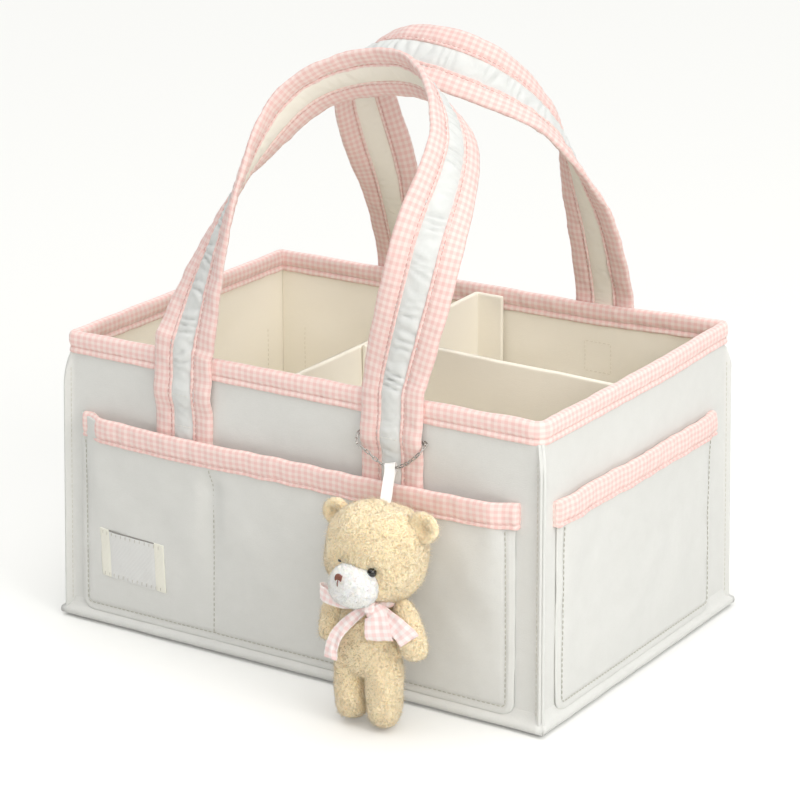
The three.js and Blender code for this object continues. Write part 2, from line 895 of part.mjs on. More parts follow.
// Bear. A stuffed form is a stack of ellipses whose half width follows a rounded swell: the
// bulge share is where along its height it is fattest.

function stuffed(size, { bulge = 1 / 2, square = 2, rings = 12, sides = 16 } = {}) {
  const section = [];
  for (let j = 0; j < sides; j++) {
    const angle = (2 * Math.PI * j) / sides;
    section.push(flat(Math.cos(angle), Math.sin(angle)));
  }
  const skin = [];
  const least = 0.03;
  for (let i = 0; i <= rings; i++) {
    const swing = Math.cos((Math.PI * i) / rings);
    const share = (1 - swing) / 2;
    const power = Math.log(1 / 2) / Math.log(bulge);
    const moved = 2 * share ** power - 1;
    const round = Math.max(least, (1 - Math.abs(moved) ** square) ** (1 / square));
    skin.push(section.map((p) => at(
      (p.x * round * size.x) / 2,
      (p.y * round * size.y) / 2,
      (share - 1 / 2) * size.z,
    )));
  }
  return loft(skin, section);
}

const grown = (size, by) => at(size.x + by, size.y + by, size.z + by);

function bearForm(size, place, shape, tilt = 0) {
  const build = (by) => toSolid(stuffed(grown(size, by), shape)
    .rotateY(tilt)
    .translate(bearX + place.x, bearY + place.y, place.z));
  return { solid: build(0), space: build(2 * layerGap) };
}

const headPlace = at(headRight, headBack, headMiddle);
const headShape = { bulge: 0.47, square: 2.15, rings: 14, sides: 20 };
const head = bearForm(at(headWidth, headDepth, headHeight), headPlace, headShape);
const bodyShape = { bulge: 0.38, square: 2.2, rings: 10 };
const body = bearForm(
  at(bodyWidth, bodyDepth, bodyHeight),
  at(0, 0, bodyMiddle),
  bodyShape,
);
const headFront = headBack - headDepth / 2;
const muzzle = bearForm(
  at(muzzleWidth, muzzleDepth, muzzleHeight),
  at(headRight, headFront + muzzleDepth / 8, headMiddle - muzzleDrop),
  { bulge: 0.48, square: 2.1, rings: 8 },
);

// The neck ribbon is the skin of a slightly larger body, between two heights.
const neckTop = headMiddle - headHeight / 2 + neckTapeUnderHead;
const neckSlab = toSolid(box(
  at(bearX - bodyWidth, bearY - bodyWidth, neckTop - neckTapeHeight),
  at(bearX + bodyWidth, bearY + bodyWidth, neckTop),
));
const neckForm = (by) => toSolid(stuffed(
  grown(at(bodyWidth, bodyDepth, bodyHeight), by), bodyShape,
).translate(bearX, bearY, bodyMiddle));
const neckRibbon = neckForm(2 * (layerGap + neckTapeWall)).intersect(neckSlab)
  .subtract(body.space)
  .subtract(head.space);
const neckRoom = neckForm(2 * (2 * layerGap + neckTapeWall));

addPart('bear_head', fromSolid(head.solid), colours.plush);
addPart('bear_neck_ribbon', fromSolid(neckRibbon), colours.bow);
addPart('bear_body', fromSolid(body.solid.subtract(head.space)), colours.plush);
addPart('bear_muzzle', fromSolid(muzzle.solid.subtract(head.space)), colours.muzzle);

const noseFront = headFront + muzzleDepth / 8 - muzzleDepth / 2;
const nose = bearForm(
  at(noseWidth, noseDepth, noseHeight),
  at(headRight, noseFront + noseDepth / 4, headMiddle - muzzleDrop + noseRise),
  { rings: 5, sides: 10 },
);
addPart('bear_nose', fromSolid(nose.solid.subtract(muzzle.space)), colours.nose, 0.5);

for (const [name, side] of [['left', -1], ['right', 1]]) {
  const leg = bearForm(
    at(legDiameter, legDiameter, legLength),
    at((side * legSpread) / 2, 0, bearLift + legLength / 2),
    { bulge: 0.42, square: 2.6, rings: 8, sides: 12 },
  );
  addPart(`bear_${name}_leg`, fromSolid(leg.solid.subtract(body.space)), colours.plush);

  const arm = bearForm(
    at(armDiameter, armDiameter, armLength),
    at(
      (side * (armSpread + Math.sin(armTilt) * armLength)) / 2,
      0,
      armTop - (Math.cos(armTilt) * armLength) / 2,
    ),
    { bulge: 0.4, square: 2.4, rings: 8, sides: 12 },
    -side * armTilt,
  );
  const freeArm = arm.solid.subtract(body.space).subtract(head.space).subtract(neckRoom);
  addPart(`bear_${name}_arm`, fromSolid(freeArm), colours.plush);

  const ear = bearForm(
    at(earDiameter, earDepth, earDiameter),
    at(headRight + (side * earSpread) / 2, headBack + earDepth / 8, headMiddle + earRise),
    { rings: 8, sides: 12 },
  );
  addPart(`bear_${name}_ear`, fromSolid(ear.solid.subtract(head.space)), colours.plush);

  const eyeOut = eyeSpread / headWidth;
  const eyeDepth = (headDepth / 2) * Math.sqrt(1 - eyeOut ** 2);
  const eye = bearForm(
    at(eyeDiameter, eyeDiameter, eyeDiameter),
    at(
      headRight + (side * eyeSpread) / 2,
      headBack - eyeDepth - eyeDiameter / 5,
      headMiddle - eyeDrop,
    ),
    { rings: 6, sides: 10 },
  );
  const seatedEye = eye.solid.subtract(head.space).subtract(muzzle.space);
  addPart(`bear_${name}_eye`, fromSolid(seatedEye), colours.eye, 0.15);
}

// Bow at the throat: a knot, and on each side a loop and a tail in one piece of ribbon. It has
// slipped round the neck towards one side.

const knotPlace = at(
  Math.sin(bowRound) * bowOut,
  -Math.cos(bowRound) * bowOut,
  headMiddle - bowUnderHead,
);
const knot = bearForm(at(bowKnotWidth, bowKnotDepth, bowKnotHeight), knotPlace, { rings: 6, sides: 10 });
const bowCutters = [head.space, muzzle.space, body.space];
const clearOf = (solid, cutters) => cutters.reduce((left, cutter) => left.subtract(cutter), solid);
addPart('bear_bow_knot', fromSolid(clearOf(knot.solid, [...bowCutters, neckRoom])), colours.bow);

function bowSide(side, turn, loopAngle, tailAngle) {
  const knotReach = bowKnotWidth / 3;
  const along = (angle, length) => at(
    knotPlace.x + side * Math.cos(angle) * Math.cos(turn) * length,
    knotPlace.y + side * Math.cos(angle) * Math.sin(turn) * length,
    knotPlace.z + Math.sin(angle) * length,
  );
  const loopMiddle = along(loopAngle, knotReach + bowLoopLength / 2);
  const loop = toSolid(stuffed(at(bowLoopHeight, bowLoopDepth, bowLoopLength), {
    bulge: side * loopAngle > 0 ? 0.6 : 0.55, rings: 8, sides: 10,
  })
    .rotateY(side * (Math.PI / 2 - loopAngle))
    .rotateZ(turn)
    .translate(bearX + loopMiddle.x, bearY + loopMiddle.y, loopMiddle.z));
  const tailMiddle = along(tailAngle, knotReach + bowTailLength / 2);
  const half = at(bowTailWidth / 2, bowTailThickness / 2, bowTailLength / 2);
  const tail = toSolid(box(half.clone().negate(), half)
    .rotateY(side * (Math.PI / 2 - tailAngle))
    .rotateZ(turn)
    .translate(bearX + tailMiddle.x, bearY + tailMiddle.y, tailMiddle.z));
  const near = side * layerGap / 2;
  const far = side * bowTailLength * 2;
  const middle = bearX + knotPlace.x;
  const ownSide = toSolid(box(
    at(middle + Math.min(near, far), bearY - bodyWidth - bowTailLength, 0),
    at(middle + Math.max(near, far), bearY + bodyWidth, headMiddle),
  ));
  return clearOf(loop.add(tail).intersect(ownSide), [...bowCutters, neckRoom, knot.space]);
}
addPart('bear_bow_left', fromSolid(bowSide(-1, bowLeftTurn, 0.05, -0.8)), colours.bow);
addPart('bear_bow_right', fromSolid(bowSide(1, bowRightTurn, -1.1, -0.6)), colours.bow);

// The hanging loop is one ribbon that goes up from the head, round the chain and back.
function hangLoop() {
  const low = chainLine().getPoints(2 * archSteps)
    .reduce((lowest, p) => (p.z < lowest.z ? p : lowest));
  const anchor = at(
    bearX + headRight,
    bearY + headBack + headDepth / 8,
    headMiddle + headHeight / 2 - linkPitch,
  );
  const rise = new THREE.Vector3().subVectors(low, anchor);
  const length = rise.length();
  rise.normalize();
  const across = at(1, 0, 0).addScaledVector(rise, -rise.x).normalize();
  const through = new THREE.Vector3().crossVectors(rise, across);
  const half = loopTape / 2;
  const near = half + layerGap;
  const path = [{ up: 0, off: near, turn: 0 }, { up: length / 2, off: near, turn: 0 }];
  const arcSteps = 8;
  const radius = loopRoom + half;
  for (let i = 0; i <= arcSteps; i++) {
    const angle = -0.35 * Math.PI + (1.7 * Math.PI * i) / arcSteps;
    path.push({
      up: length + radius * Math.sin(angle),
      off: radius * Math.cos(angle),
      turn: angle,
    });
  }
  path.push({ up: length / 2, off: -near, turn: Math.PI }, { up: 0, off: -near, turn: Math.PI });
  const section = [
    flat(-half, -loopWidth / 2),
    flat(half, -loopWidth / 2),
    flat(half, loopWidth / 2),
    flat(-half, loopWidth / 2),
  ];
  const rings = path.map((p) => section.map((q) => anchor.clone()
    .addScaledVector(rise, p.up + q.x * Math.sin(p.turn))
    .addScaledVector(through, p.off + q.x * Math.cos(p.turn))
    .addScaledVector(across, q.y)));
  return toSolid(loft(rings, section)).subtract(head.space);
}
addPart('bear_hang_loop', fromSolid(hangLoop()), colours.satin);

export default bag;
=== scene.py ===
import math

import bpy
import numpy as np
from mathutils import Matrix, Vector


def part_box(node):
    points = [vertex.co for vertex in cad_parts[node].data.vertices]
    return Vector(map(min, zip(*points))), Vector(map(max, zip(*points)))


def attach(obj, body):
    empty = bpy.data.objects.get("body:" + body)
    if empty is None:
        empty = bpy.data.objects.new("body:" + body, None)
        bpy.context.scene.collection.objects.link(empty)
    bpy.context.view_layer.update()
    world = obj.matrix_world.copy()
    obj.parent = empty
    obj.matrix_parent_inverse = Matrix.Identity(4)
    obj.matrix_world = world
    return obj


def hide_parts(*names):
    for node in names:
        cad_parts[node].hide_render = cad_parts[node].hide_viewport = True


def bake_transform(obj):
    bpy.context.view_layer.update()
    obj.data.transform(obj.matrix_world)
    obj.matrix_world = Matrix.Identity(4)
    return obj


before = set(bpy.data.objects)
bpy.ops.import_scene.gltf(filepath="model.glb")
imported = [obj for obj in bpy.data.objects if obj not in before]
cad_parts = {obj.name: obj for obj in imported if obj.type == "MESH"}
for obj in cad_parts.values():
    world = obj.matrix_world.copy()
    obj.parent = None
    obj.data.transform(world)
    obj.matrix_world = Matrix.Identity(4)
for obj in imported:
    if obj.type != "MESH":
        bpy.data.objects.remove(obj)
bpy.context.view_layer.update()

# A felt storage tub with a bound rim, four outside pockets, two strap handles, lift-out dividers
# and a plush bear on a chain. Shapes are worked out in millimetres and stored in metres.

MM = 0.001
TAU = 2 * math.pi

# The tub
TUB_LENGTH = 330
TUB_WIDTH = 226
TUB_HEIGHT = 180
LEAN_IN = 3.3
FELT = 3
GAP = 0.3
CORNER_FELT = 1.9
LIP_CHAMFER = 3
RIM_RADIUS = 8
RIM_TURN = 3.2
RIM_WIDE_TURN = 7.5
RIM_RISE = 2.6
RIM_TAPE_FOOT = 166.7
TAPE_OUT = 1.1
WALL_FOOT = FELT + GAP
POCKET_FOOT = 7.2
POCKET_TOP = 131.5
POCKET_TAPE = 14
TAPE_PAST = 3.1
POCKET_FELT = 2.5
POCKET_CORNER = 8
EDGE_SEAM = 5
LONG_POCKET = 149
SEAMS = (-56, 56)

# Half the width of each pocket, its dividing seams, and how far its mouth bows out
POCKETS = {"front": (LONG_POCKET, SEAMS, 5.7), "back": (LONG_POCKET, SEAMS, 5.7),
           "left": (97.5, (), 2.2), "right": (97.5, (), 2.2)}

# The straps
STRAP_WIDTH = 39
STRAP_THICK = 3.6
FOOT_SPACING = 145
FOOT_SHIFT = 4.5
FOOT_LOW = 121
ARCH_RISE = 157
ARCH_LEAN = 92
HINGE_UP = 181.2
CHAIN_UP = 157

DIVIDER_TOP = 171

# Sewing
STITCH_PITCH = 3.2
STITCH_LENGTH = 2.3
STITCH_THICK = 0.42


def hexed(code):
    """An sRGB hex colour as the linear colour that a shader takes."""
    parts = [int(code[i:i + 2], 16) / 255 for i in (1, 3, 5)]
    return (*(p / 12.92 if p <= 0.04045 else ((p + 0.055) / 1.055) ** 2.4 for p in parts), 1)


def ease(value, start, end):
    """0 before start and 1 past end, with a smooth rise between."""
    t = np.clip((np.asarray(value, float) - start) / (end - start), 0, 1)
    return t * t * (3 - 2 * t)


def unit(vectors):
    """The same directions with a length of 1."""
    return vectors / np.maximum(np.linalg.norm(vectors, axis=-1, keepdims=True), 1e-9)


def run(points):
    """How far along a line each of its points lies."""
    return np.r_[0, np.cumsum(np.linalg.norm(np.diff(points, axis=0), axis=1))]


def read_off(at, gone, values):
    """What a line's values are at some lengths along it."""
    return np.stack([np.interp(at, gone, column) for column in np.asarray(values, float).T], -1)


def spread(*values):
    """Numbers and arrays brought to one common shape."""
    return np.broadcast_arrays(*(np.asarray(value, float) for value in values))


def drift(points, size, seed):
    """Aimless soft variation between about -1 and 1 that changes over some size mm."""
    dice = np.random.default_rng(seed)
    points = np.asarray(points, float)
    total = 0
    waves = 7
    for _ in range(waves):
        way = dice.normal(size=points.shape[-1])
        way /= np.linalg.norm(way)
        stride = size * (0.7 + 0.7 * dice.random())
        total = total + np.sin(points @ way * TAU / stride + TAU * dice.random())
    return total / math.sqrt(waves / 2) / 1.6


# Meshes

def make_piece(name, points, faces, cloth=None, smooth=True):
    """A mesh object from points in mm. cloth gives each face corner its place on the flat cloth."""
    mesh = bpy.data.meshes.new(name)
    mesh.from_pydata((np.asarray(points) * MM).tolist(), [], faces)
    mesh.polygons.foreach_set("use_smooth", [smooth] * len(mesh.polygons))
    if cloth is not None:
        layer = mesh.uv_layers.new(name="cloth")
        layer.data.foreach_set("uv", np.asarray(cloth, np.float32).ravel())
    mesh.update()
    piece = bpy.data.objects.new(name, mesh)
    bpy.context.scene.collection.objects.link(piece)
    return piece


def skin(name, rings, along=None, across=None, joined=False):
    """One closed skin over rings of points. along and across are lengths on the flat cloth, mm,
    and joined says that the last ring meets the first."""
    rings = np.asarray(rings, float)
    count, width = rings.shape[:2]
    spans = count if joined else count - 1
    i = np.arange(spans)[:, None]
    j = np.arange(width)[None, :]
    k = (j + 1) % width
    up = (i + 1) % count
    quads = np.stack([i * width + j, i * width + k, up * width + k, up * width + j], -1)
    quads = quads.reshape(-1, 4)
    if along is None:
        along = np.r_[0, np.cumsum(np.linalg.norm(np.diff(rings, axis=0), axis=2).mean(1))]
        if joined:
            along = np.r_[along, along[-1] + np.linalg.norm(rings[0] - rings[-1], axis=1).mean()]
    if across is None:
        across = run(rings[count // 2])
    along, across = np.asarray(along), np.asarray(across)
    cloth = np.stack([np.stack(np.broadcast_arrays(along[line], across[column]), -1)
                      for line, column in ((i, j), (i, k), (i + 1, k), (i + 1, j))], 2)
    cloth = cloth.reshape(-1, 4, 2)
    flat = rings.reshape(-1, 3)
    a, b, c, d = (flat[quads[:, n]] for n in range(4))
    volume = np.einsum("ij,ij->", a, np.cross(b, c)) + np.einsum("ij,ij->", a, np.cross(c, d))
    if volume < 0:
        quads = quads[:, ::-1]
        cloth = cloth[:, ::-1]
    faces = quads.tolist()
    cloth = cloth.reshape(-1, 2).tolist()
    if not joined:
        low = list(range(width))
        high = [(count - 1) * width + n for n in range(width)]
        if volume < 0:
            high = high[::-1]
        else:
            low = low[::-1]
        for cap, place in ((low, along[0]), (high, along[-1])):
            faces.append(cap)
            cloth += [(place, across[n % width]) for n in cap]
    return make_piece(name, flat, faces, cloth)


def joined_piece(name, pieces):
    """Several meshes put together as one piece."""
    bpy.ops.object.select_all(action="DESELECT")
    for piece in pieces:
        piece.select_set(True)
    bpy.context.view_layer.objects.active = pieces[0]
    bpy.ops.object.join()
    whole = bpy.context.view_layer.objects.active
    whole.name = name
    whole.data.name = name
    whole.select_set(False)
    return whole


def edge_on(stops, thick, soft):
    """A cut sheet seen on edge: closed (length, depth) outline whose two ends are rounded."""
    half = thick / 2
    low, high = stops[0], stops[-1]
    middle = [s for s in stops if low + soft < s < high - soft]
    turns = [math.pi * n / 6 for n in range(7)]
    outline = [(s, half) for s in middle]
    outline += [(high - soft + soft * math.sin(t), half * math.cos(t)) for t in turns]
    outline += [(s, -half) for s in reversed(middle)]
    outline += [(low + soft - soft * math.sin(t), -half * math.cos(t)) for t in turns]
    return np.array(outline)


def tube_faces(count, loops, around):
    """The faces of many tubes, closed at both ends, each of some loops with points around."""
    cell = np.arange(count)[:, None, None] * loops * around
    i = np.arange(loops - 1)[None, :, None] * around
    j = np.arange(around)
    k = (j + 1) % around
    quads = np.stack([cell + i + j, cell + i + k, cell + i + around + k, cell + i + around + j], -1)
    ends = cell[:, 0] + (loops - 1) * around + j
    roots = cell[:, 0] + j[::-1]
    return quads.reshape(-1, 4).tolist() + ends.tolist() + roots.tolist()


# A stitch from end to end: where each loop lies and how thick it is, as shares
STITCH_SHARES = np.array([(-0.5, 0.3), (-0.38, 0.8), (0, 1), (0.38, 0.8), (0.5, 0.3)])


def sewn(name, places, ways, outs, length=STITCH_LENGTH, thick=STITCH_THICK):
    """Stitches as small bowed threads, half sunk in the cloth at the given places."""
    places, ways, outs = (np.asarray(v, float) for v in (places, ways, outs))
    ways = unit(ways)
    sides = unit(np.cross(outs, ways))
    outs = np.cross(ways, sides)
    turns = np.arange(6) * TAU / 6
    rings = []
    for share, girth in STITCH_SHARES:
        bow = thick * (0.45 - 1.6 * share * share)
        middle = places + ways * (share * length) + outs * bow
        ring = (middle[:, None] + sides[:, None] * (np.cos(turns)[:, None] * thick / 2 * girth)
                + outs[:, None] * (np.sin(turns)[:, None] * thick / 2 * girth))
        rings.append(ring)
    rings = np.stack(rings, 1)
    return make_piece(name, rings.reshape(-1, 3), tube_faces(*rings.shape[:3]))


def sewing_line(points, outs, pitch=STITCH_PITCH, start=0.5):
    """Places, ways and outward directions of stitches spaced evenly along a line. outs is one
    direction for all of it or one for each of its points."""
    outs = np.broadcast_to(outs, np.shape(points))
    gone = run(points)
    count = max(int(gone[-1] / pitch), 1)
    at = (np.arange(count) + start) * gone[-1] / count
    way = read_off(at + 0.4, gone, points) - read_off(at - 0.4, gone, points)
    return read_off(at, gone, points), way, unit(read_off(at, gone, outs))


def stitch_pull(along, off_seam):
    """How far sewing pulls a tape in, stitch by stitch, near its seam."""
    return 0.16 * np.cos(TAU * along / STITCH_PITCH) * np.exp(-(off_seam / 2.2) ** 2)


def rounded_off(inward, radius, least):
    """The share of its thickness that a sheet keeps some way in from its rounded edge."""
    return math.sqrt(max(least, 1 - max(0, 1 - inward / radius) ** 2))


def gather(lines):
    return [np.concatenate([line[n] for line in lines]) for n in range(3)]


# Walls. Each has its own coordinates: along it, out from its outer face, and up.

HALF = {"front": TUB_LENGTH / 2, "back": TUB_LENGTH / 2,
        "left": TUB_WIDTH / 2, "right": TUB_WIDTH / 2}
OUTWARD = {"front": (0, -1, 0), "back": (0, 1, 0), "left": (-1, 0, 0), "right": (1, 0, 0)}
WALL_SEED = {"front": 3, "back": 5, "left": 7, "right": 11}


def slack(wall, along, up):
    """How far the soft wall drifts from flat. It stays true at the corners, rim and bottom."""
    reach = HALF[wall]
    along, up = spread(along, up)
    held = ease(reach - np.abs(along), 4, 45) * ease(up, 6, 40) * ease(-up, -168, -135)
    grid = np.stack([along, up], -1)
    return held * (0.75 * drift(grid, 95, WALL_SEED[wall])
                   + 0.3 * drift(grid, 34, WALL_SEED[wall] + 1))


def on_wall(wall, along, out, up, still=False):
    """A point from a wall's own coordinates, moved with the wall's slack unless it is still."""
    along, out, up = spread(along, out, up)
    if not still:
        out = out + slack(wall, along, up)
    long, wide = TUB_LENGTH / 2, TUB_WIDTH / 2
    lean = LEAN_IN * up / TUB_HEIGHT
    if wall in ("front", "back"):
        side = 1 if wall == "front" else -1
        x, y = side * along, -side * (wide + out)
    else:
        side = 1 if wall == "right" else -1
        x, y = side * (long + out), side * along
    return np.stack([x * (1 - lean / long), y * (1 - lean / wide), up], -1)


# Above this height the lips narrow towards the rim tape, which goes round them
LIP_FREE_TO = 144

# How far the sewn lips stand out at the corners, by wall and by end, in mm
CORNER_LIPS = {"front": (5.2, 3.0), "right": (3.0, 2.4), "back": (2.4, 4.0), "left": (4.0, 5.2)}


def corner_lip(half, lip):
    """The outline of a wall's right end, from its inner face round the lip to its outer face."""
    shift = 0.04
    root = half - FELT - shift
    reach = FELT + lip / math.sqrt(2)
    tip = root + reach
    outline = [(root + reach * s, -FELT + reach * s) for s in (0, 0.25, 0.5, 0.75, 0.93)]
    thick = CORNER_FELT / math.sqrt(2)
    outline += [(tip - thick * s + bulge, -FELT + reach + thick * s + bulge)
                for s, bulge in ((0.12, 0.05), (0.5, 0.25), (0.88, 0.05))]
    corner = half - 2 * thick - shift
    outline += [(corner + (tip - thick - corner) * s, (reach - FELT + thick) * s)
                for s in (0.93, 0.7, 0.5)]
    return outline + [(corner + 0.6, 0.75), (corner - 0.2, 0.18), (corner - 1.6, 0.0)]


def wall_sheet(wall):
    """One wall of pressed felt with its lips turned out down both corner seams."""
    half = HALF[wall]
    left_lip, right_lip = CORNER_LIPS[wall]
    inner = [(s * (half - FELT - 1), -FELT) for s in np.linspace(-1, 1, 58)]
    right = corner_lip(half, right_lip)
    outer = [(s * (half - 8), 0.0) for s in reversed(np.linspace(-1, 1, 56))]
    left = [(-a, o) for a, o in reversed(corner_lip(half, left_lip))]
    outline = np.array(inner + right + outer + left)
    ups = np.r_[np.linspace(WALL_FOOT, LIP_FREE_TO, 32), np.linspace(146, 167, 15),
                169, 171, 175, 178.4]
    rings = []
    for up in ups:
        along, out = outline.T.copy()
        past = np.clip((up - LIP_FREE_TO) / (RIM_TAPE_FOOT - LIP_FREE_TO), 0, 1)
        limit = 10.6 + 4.4 * (1 - past ** 2.2) - 2.6 * ease(up, 167, 170)
        side = np.sign(along)
        dx, dy = np.abs(along) - (half - RIM_RADIUS), out + RIM_RADIUS
        far = np.hypot(dx, dy)
        over = (dx > 0) & (dy > 0) & (far > limit)
        pull = np.where(over, limit / np.maximum(far, 1e-6), 1)
        along = np.where(over, side * (half - RIM_RADIUS + dx * pull), along)
        out = np.where(over, -RIM_RADIUS + dy * pull, out)
        rings.append(on_wall(wall, along, out, up))
    return skin(f"{wall}_wall_felt", rings)


def bottom_lip(wall):
    """The strip along the foot of a wall where its felt is turned out over the bottom seam."""
    half = HALF[wall]
    profile = np.array([
        (-2.6, 3.1), (0, 3.04), (0.9, 2.7), (1.5, 1.8), (2.4, 1.3), (3.4, 1.35), (4.3, 1.9),
        (4.85, 2.9), (4.95, 3.9), (4.75, 4.8), (4.2, 5.6), (3.3, 6.3), (2.3, 7.1), (1.45, 8.1),
        (0.75, 9.5), (0.25, 11.4), (-0.5, 13.5), (-1.5, 13.5), (-2.6, 8)])
    outs, ups = profile.T
    reach = half + 0.3 + np.minimum(outs, 4.2)
    rings = []
    for share in np.linspace(-1, 1, 64):
        ripple = 0.18 * drift(np.array([[share * half, 0]]), 26, WALL_SEED[wall] + 2)[0]
        rings.append(on_wall(wall, share * reach, outs + ripple * (outs > 2), ups))
    return skin(f"{wall}_lip", rings)


def bottom_sheet():
    long, wide, cut = TUB_LENGTH / 2 + 0.4, TUB_WIDTH / 2 + 0.4, LIP_CHAMFER
    corners = [(-long + cut, -wide), (long - cut, -wide), (long, -wide + cut), (long, wide - cut),
               (long - cut, wide), (-long + cut, wide), (-long, wide - cut), (-long, -wide + cut)]
    outline = []
    for n, (x, y) in enumerate(corners):
        to_x, to_y = corners[(n + 1) % len(corners)]
        pieces = 40 if n % 2 == 0 else 2
        for s in np.arange(pieces) / pieces:
            outline.append((x + (to_x - x) * s, y + (to_y - y) * s))
    outline = np.array(outline)
    ripple = 0.16 * drift(outline, 30, 41)
    away = unit(outline / np.array([long, wide]) ** 8 * np.abs(outline) ** 7 + 1e-9)
    rings = []
    for up, inset in ((0, 30), (0, 4), (0, 1.2), (0.25, 0.35), (0.9, 0), (2.1, 0), (2.75, 0.35),
                      (3, 1.2), (3, 5), (3, 12), (3, 40)):
        shrink = np.array([(long - inset) / long, (wide - inset) / wide])
        at = outline * shrink + away * (ripple * (inset < 2))[:, None]
        rings.append(np.c_[at, np.full(len(at), float(up))])
    return skin("bottom_felt", rings)


# Rim tape

def rim_path(step):
    """Points and outward directions round the tub's outline, with rounded corners. The near
    right corner has stretched to a wider turn than the others."""
    points, outs = [], []
    corners = [(1, 1, RIM_TURN), (-1, 1, RIM_TURN), (-1, -1, RIM_TURN), (1, -1, RIM_WIDE_TURN)]

    def centre_of(corner):
        sx, sy, radius = corner
        return np.array([sx * (TUB_LENGTH / 2 - radius), sy * (TUB_WIDTH / 2 - radius)])

    for n, corner in enumerate(corners):
        turns = np.linspace(0, math.pi / 2, 14) + n * math.pi / 2
        arc = [np.array([math.cos(t), math.sin(t)]) for t in turns]
        for way in arc:
            points.append(centre_of(corner) + corner[2] * way)
            outs.append(way)
        following = corners[(n + 1) % 4]
        start = centre_of(corner) + corner[2] * arc[-1]
        end = centre_of(following) + following[2] * arc[-1]
        length = np.linalg.norm(end - start)
        for s in np.arange(1, int(length / step)) / int(length / step):
            points.append(start + (end - start) * s)
            outs.append(arc[-1])
    return np.array(points), np.array(outs)


def leaned(points):
    """Points moved in by as much as the walls lean in at their height."""
    points = np.array(points, float)
    lean = LEAN_IN * points[..., 2] / TUB_HEIGHT
    points[..., 0] *= 1 - lean / (TUB_LENGTH / 2)
    points[..., 1] *= 1 - lean / (TUB_WIDTH / 2)
    return points


# How high above its foot a tape is sewn, and what keeps the creases of its two faces apart
RIM_SEWN_ABOVE = 3.7
POCKET_SEWN_ABOVE = 2.6
FACES_APART = 40


def tape_outline(foot, top, half_sheet, sewn_above):
    """A tape folded over an edge, seen on end: (half thickness outside, height), both faces."""
    sewn_up = foot + sewn_above
    face = [(foot, 0.4), (foot + 0.25, 0.95), (foot + 0.8, 1.45), (foot + 1.6, 1.5),
            (sewn_up - 0.9, 1.2), (sewn_up - 0.35, 0.7), (sewn_up, 0.35), (sewn_up + 0.4, 0.65),
            (sewn_up + 1, 1.15), (sewn_up + 2, 1.5), (foot + 7.4, 1.7), (top - 3.2, 1.5),
            (top - 1.4, 1.1), (top - 0.5, 0.45)]
    outer = [(half_sheet + out, up) for up, out in face]
    crown = [(half_sheet - 0.5, top - 0.08), (0.0, top), (-half_sheet + 0.5, top - 0.08)]
    inner = [(-half_sheet - out, up) for up, out in reversed(face)]
    inside = half_sheet + 0.2
    hollow = [(-inside, foot + 0.1), (-inside, top - 1.2), (inside, top - 1.2), (inside, foot + 0.1)]
    return np.array(outer + crown + inner + hollow)


def rim_tape():
    base, outs = rim_path(1.05)
    outline = tape_outline(RIM_TAPE_FOOT, TUB_HEIGHT, FELT / 2, RIM_SEWN_ABOVE)
    gone = run(base)
    offset, up = outline.T
    place = np.stack(spread(gone[:, None], up + FACES_APART * (offset > 0)), -1)
    pull = stitch_pull(gone[:, None], up - RIM_TAPE_FOOT - RIM_SEWN_ABOVE)
    puff = (0.22 * drift(place, 13, 51) + 0.12 * drift(place, 5, 52)) * (up > RIM_TAPE_FOOT + 0.3)
    face = np.sign(offset)[None] * (np.abs(offset) > FELT / 2 + 0.3)
    moved = offset[None] + face * (pull + puff) - FELT / 2
    edge = 0.2 * drift(place[:, :1], 22, 53) * (up < RIM_TAPE_FOOT + 0.6)
    crest = 0.25 * drift(place[:, :1], 40, 54) * (up > TUB_HEIGHT - 1)
    rings = np.empty((len(base), len(outline), 3))
    rings[..., :2] = base[:, None] + outs[:, None] * moved[..., None]
    rise = RIM_RISE * ease(base[:, 0], 60, 160) * ease(base[:, 1], 20, 112)
    rings[..., 2] = up[None] + edge + crest + rise[:, None]
    piece = skin("rim_tape", leaned(rings), across=run(outline), joined=True)
    lines = []
    for side in (1, -1):
        out = side * (FELT / 2 + 0.5) - FELT / 2
        line = np.c_[base + outs * out, RIM_TAPE_FOOT + RIM_SEWN_ABOVE + rise]
        line = np.r_[line, line[:1]]
        faces = np.c_[outs, np.zeros(len(outs))] * side
        faces = np.r_[faces, faces[:1]]
        lines.append(sewing_line(leaned(line), faces))
    thread = sewn("rim_stitches", *gather(lines))
    return piece, thread


# Pockets

def pocket_at(wall, along, out, up, felt=True):
    """A point of a pocket where this bag's pockets were really sewn: the front one a little past
    its left end and sagging, the right one short of its far end."""
    along, up = spread(along, up)
    if wall == "front":
        up = up - 1.8 * (1 - (along / LONG_POCKET) ** 4) * ease(up, 70, POCKET_TOP)
        along = along - (6 if felt else 0.6) * ease(-along, 60, 143)
    if wall == "right":
        along = along - 7.5 * ease(along, 20, 92)
    return on_wall(wall, along, out, up)


def pocket_off(wall, along, up):
    """How far the back of a pocket stands off its wall."""
    half, seams, depth = POCKETS[wall]
    along, up = spread(along, up)
    bow = depth * np.clip((up - POCKET_FOOT) / (POCKET_TOP - POCKET_FOOT), 0, 1) ** 1.5
    sides = ease(half - np.abs(along), 0, 16)
    hold = np.zeros_like(along)
    for seam in seams:
        hold = np.maximum(hold, 1 - ease(np.abs(along - seam), 0, 12))
    tape_foot = POCKET_TOP - POCKET_TAPE
    near_tape = ease(up, tape_foot - POCKET_TAPE, tape_foot)
    room = TAPE_OUT * near_tape * (0.3 + 0.7 * sides)
    return 0.05 + room + (bow - room) * sides * (1 - hold * (1 - near_tape))


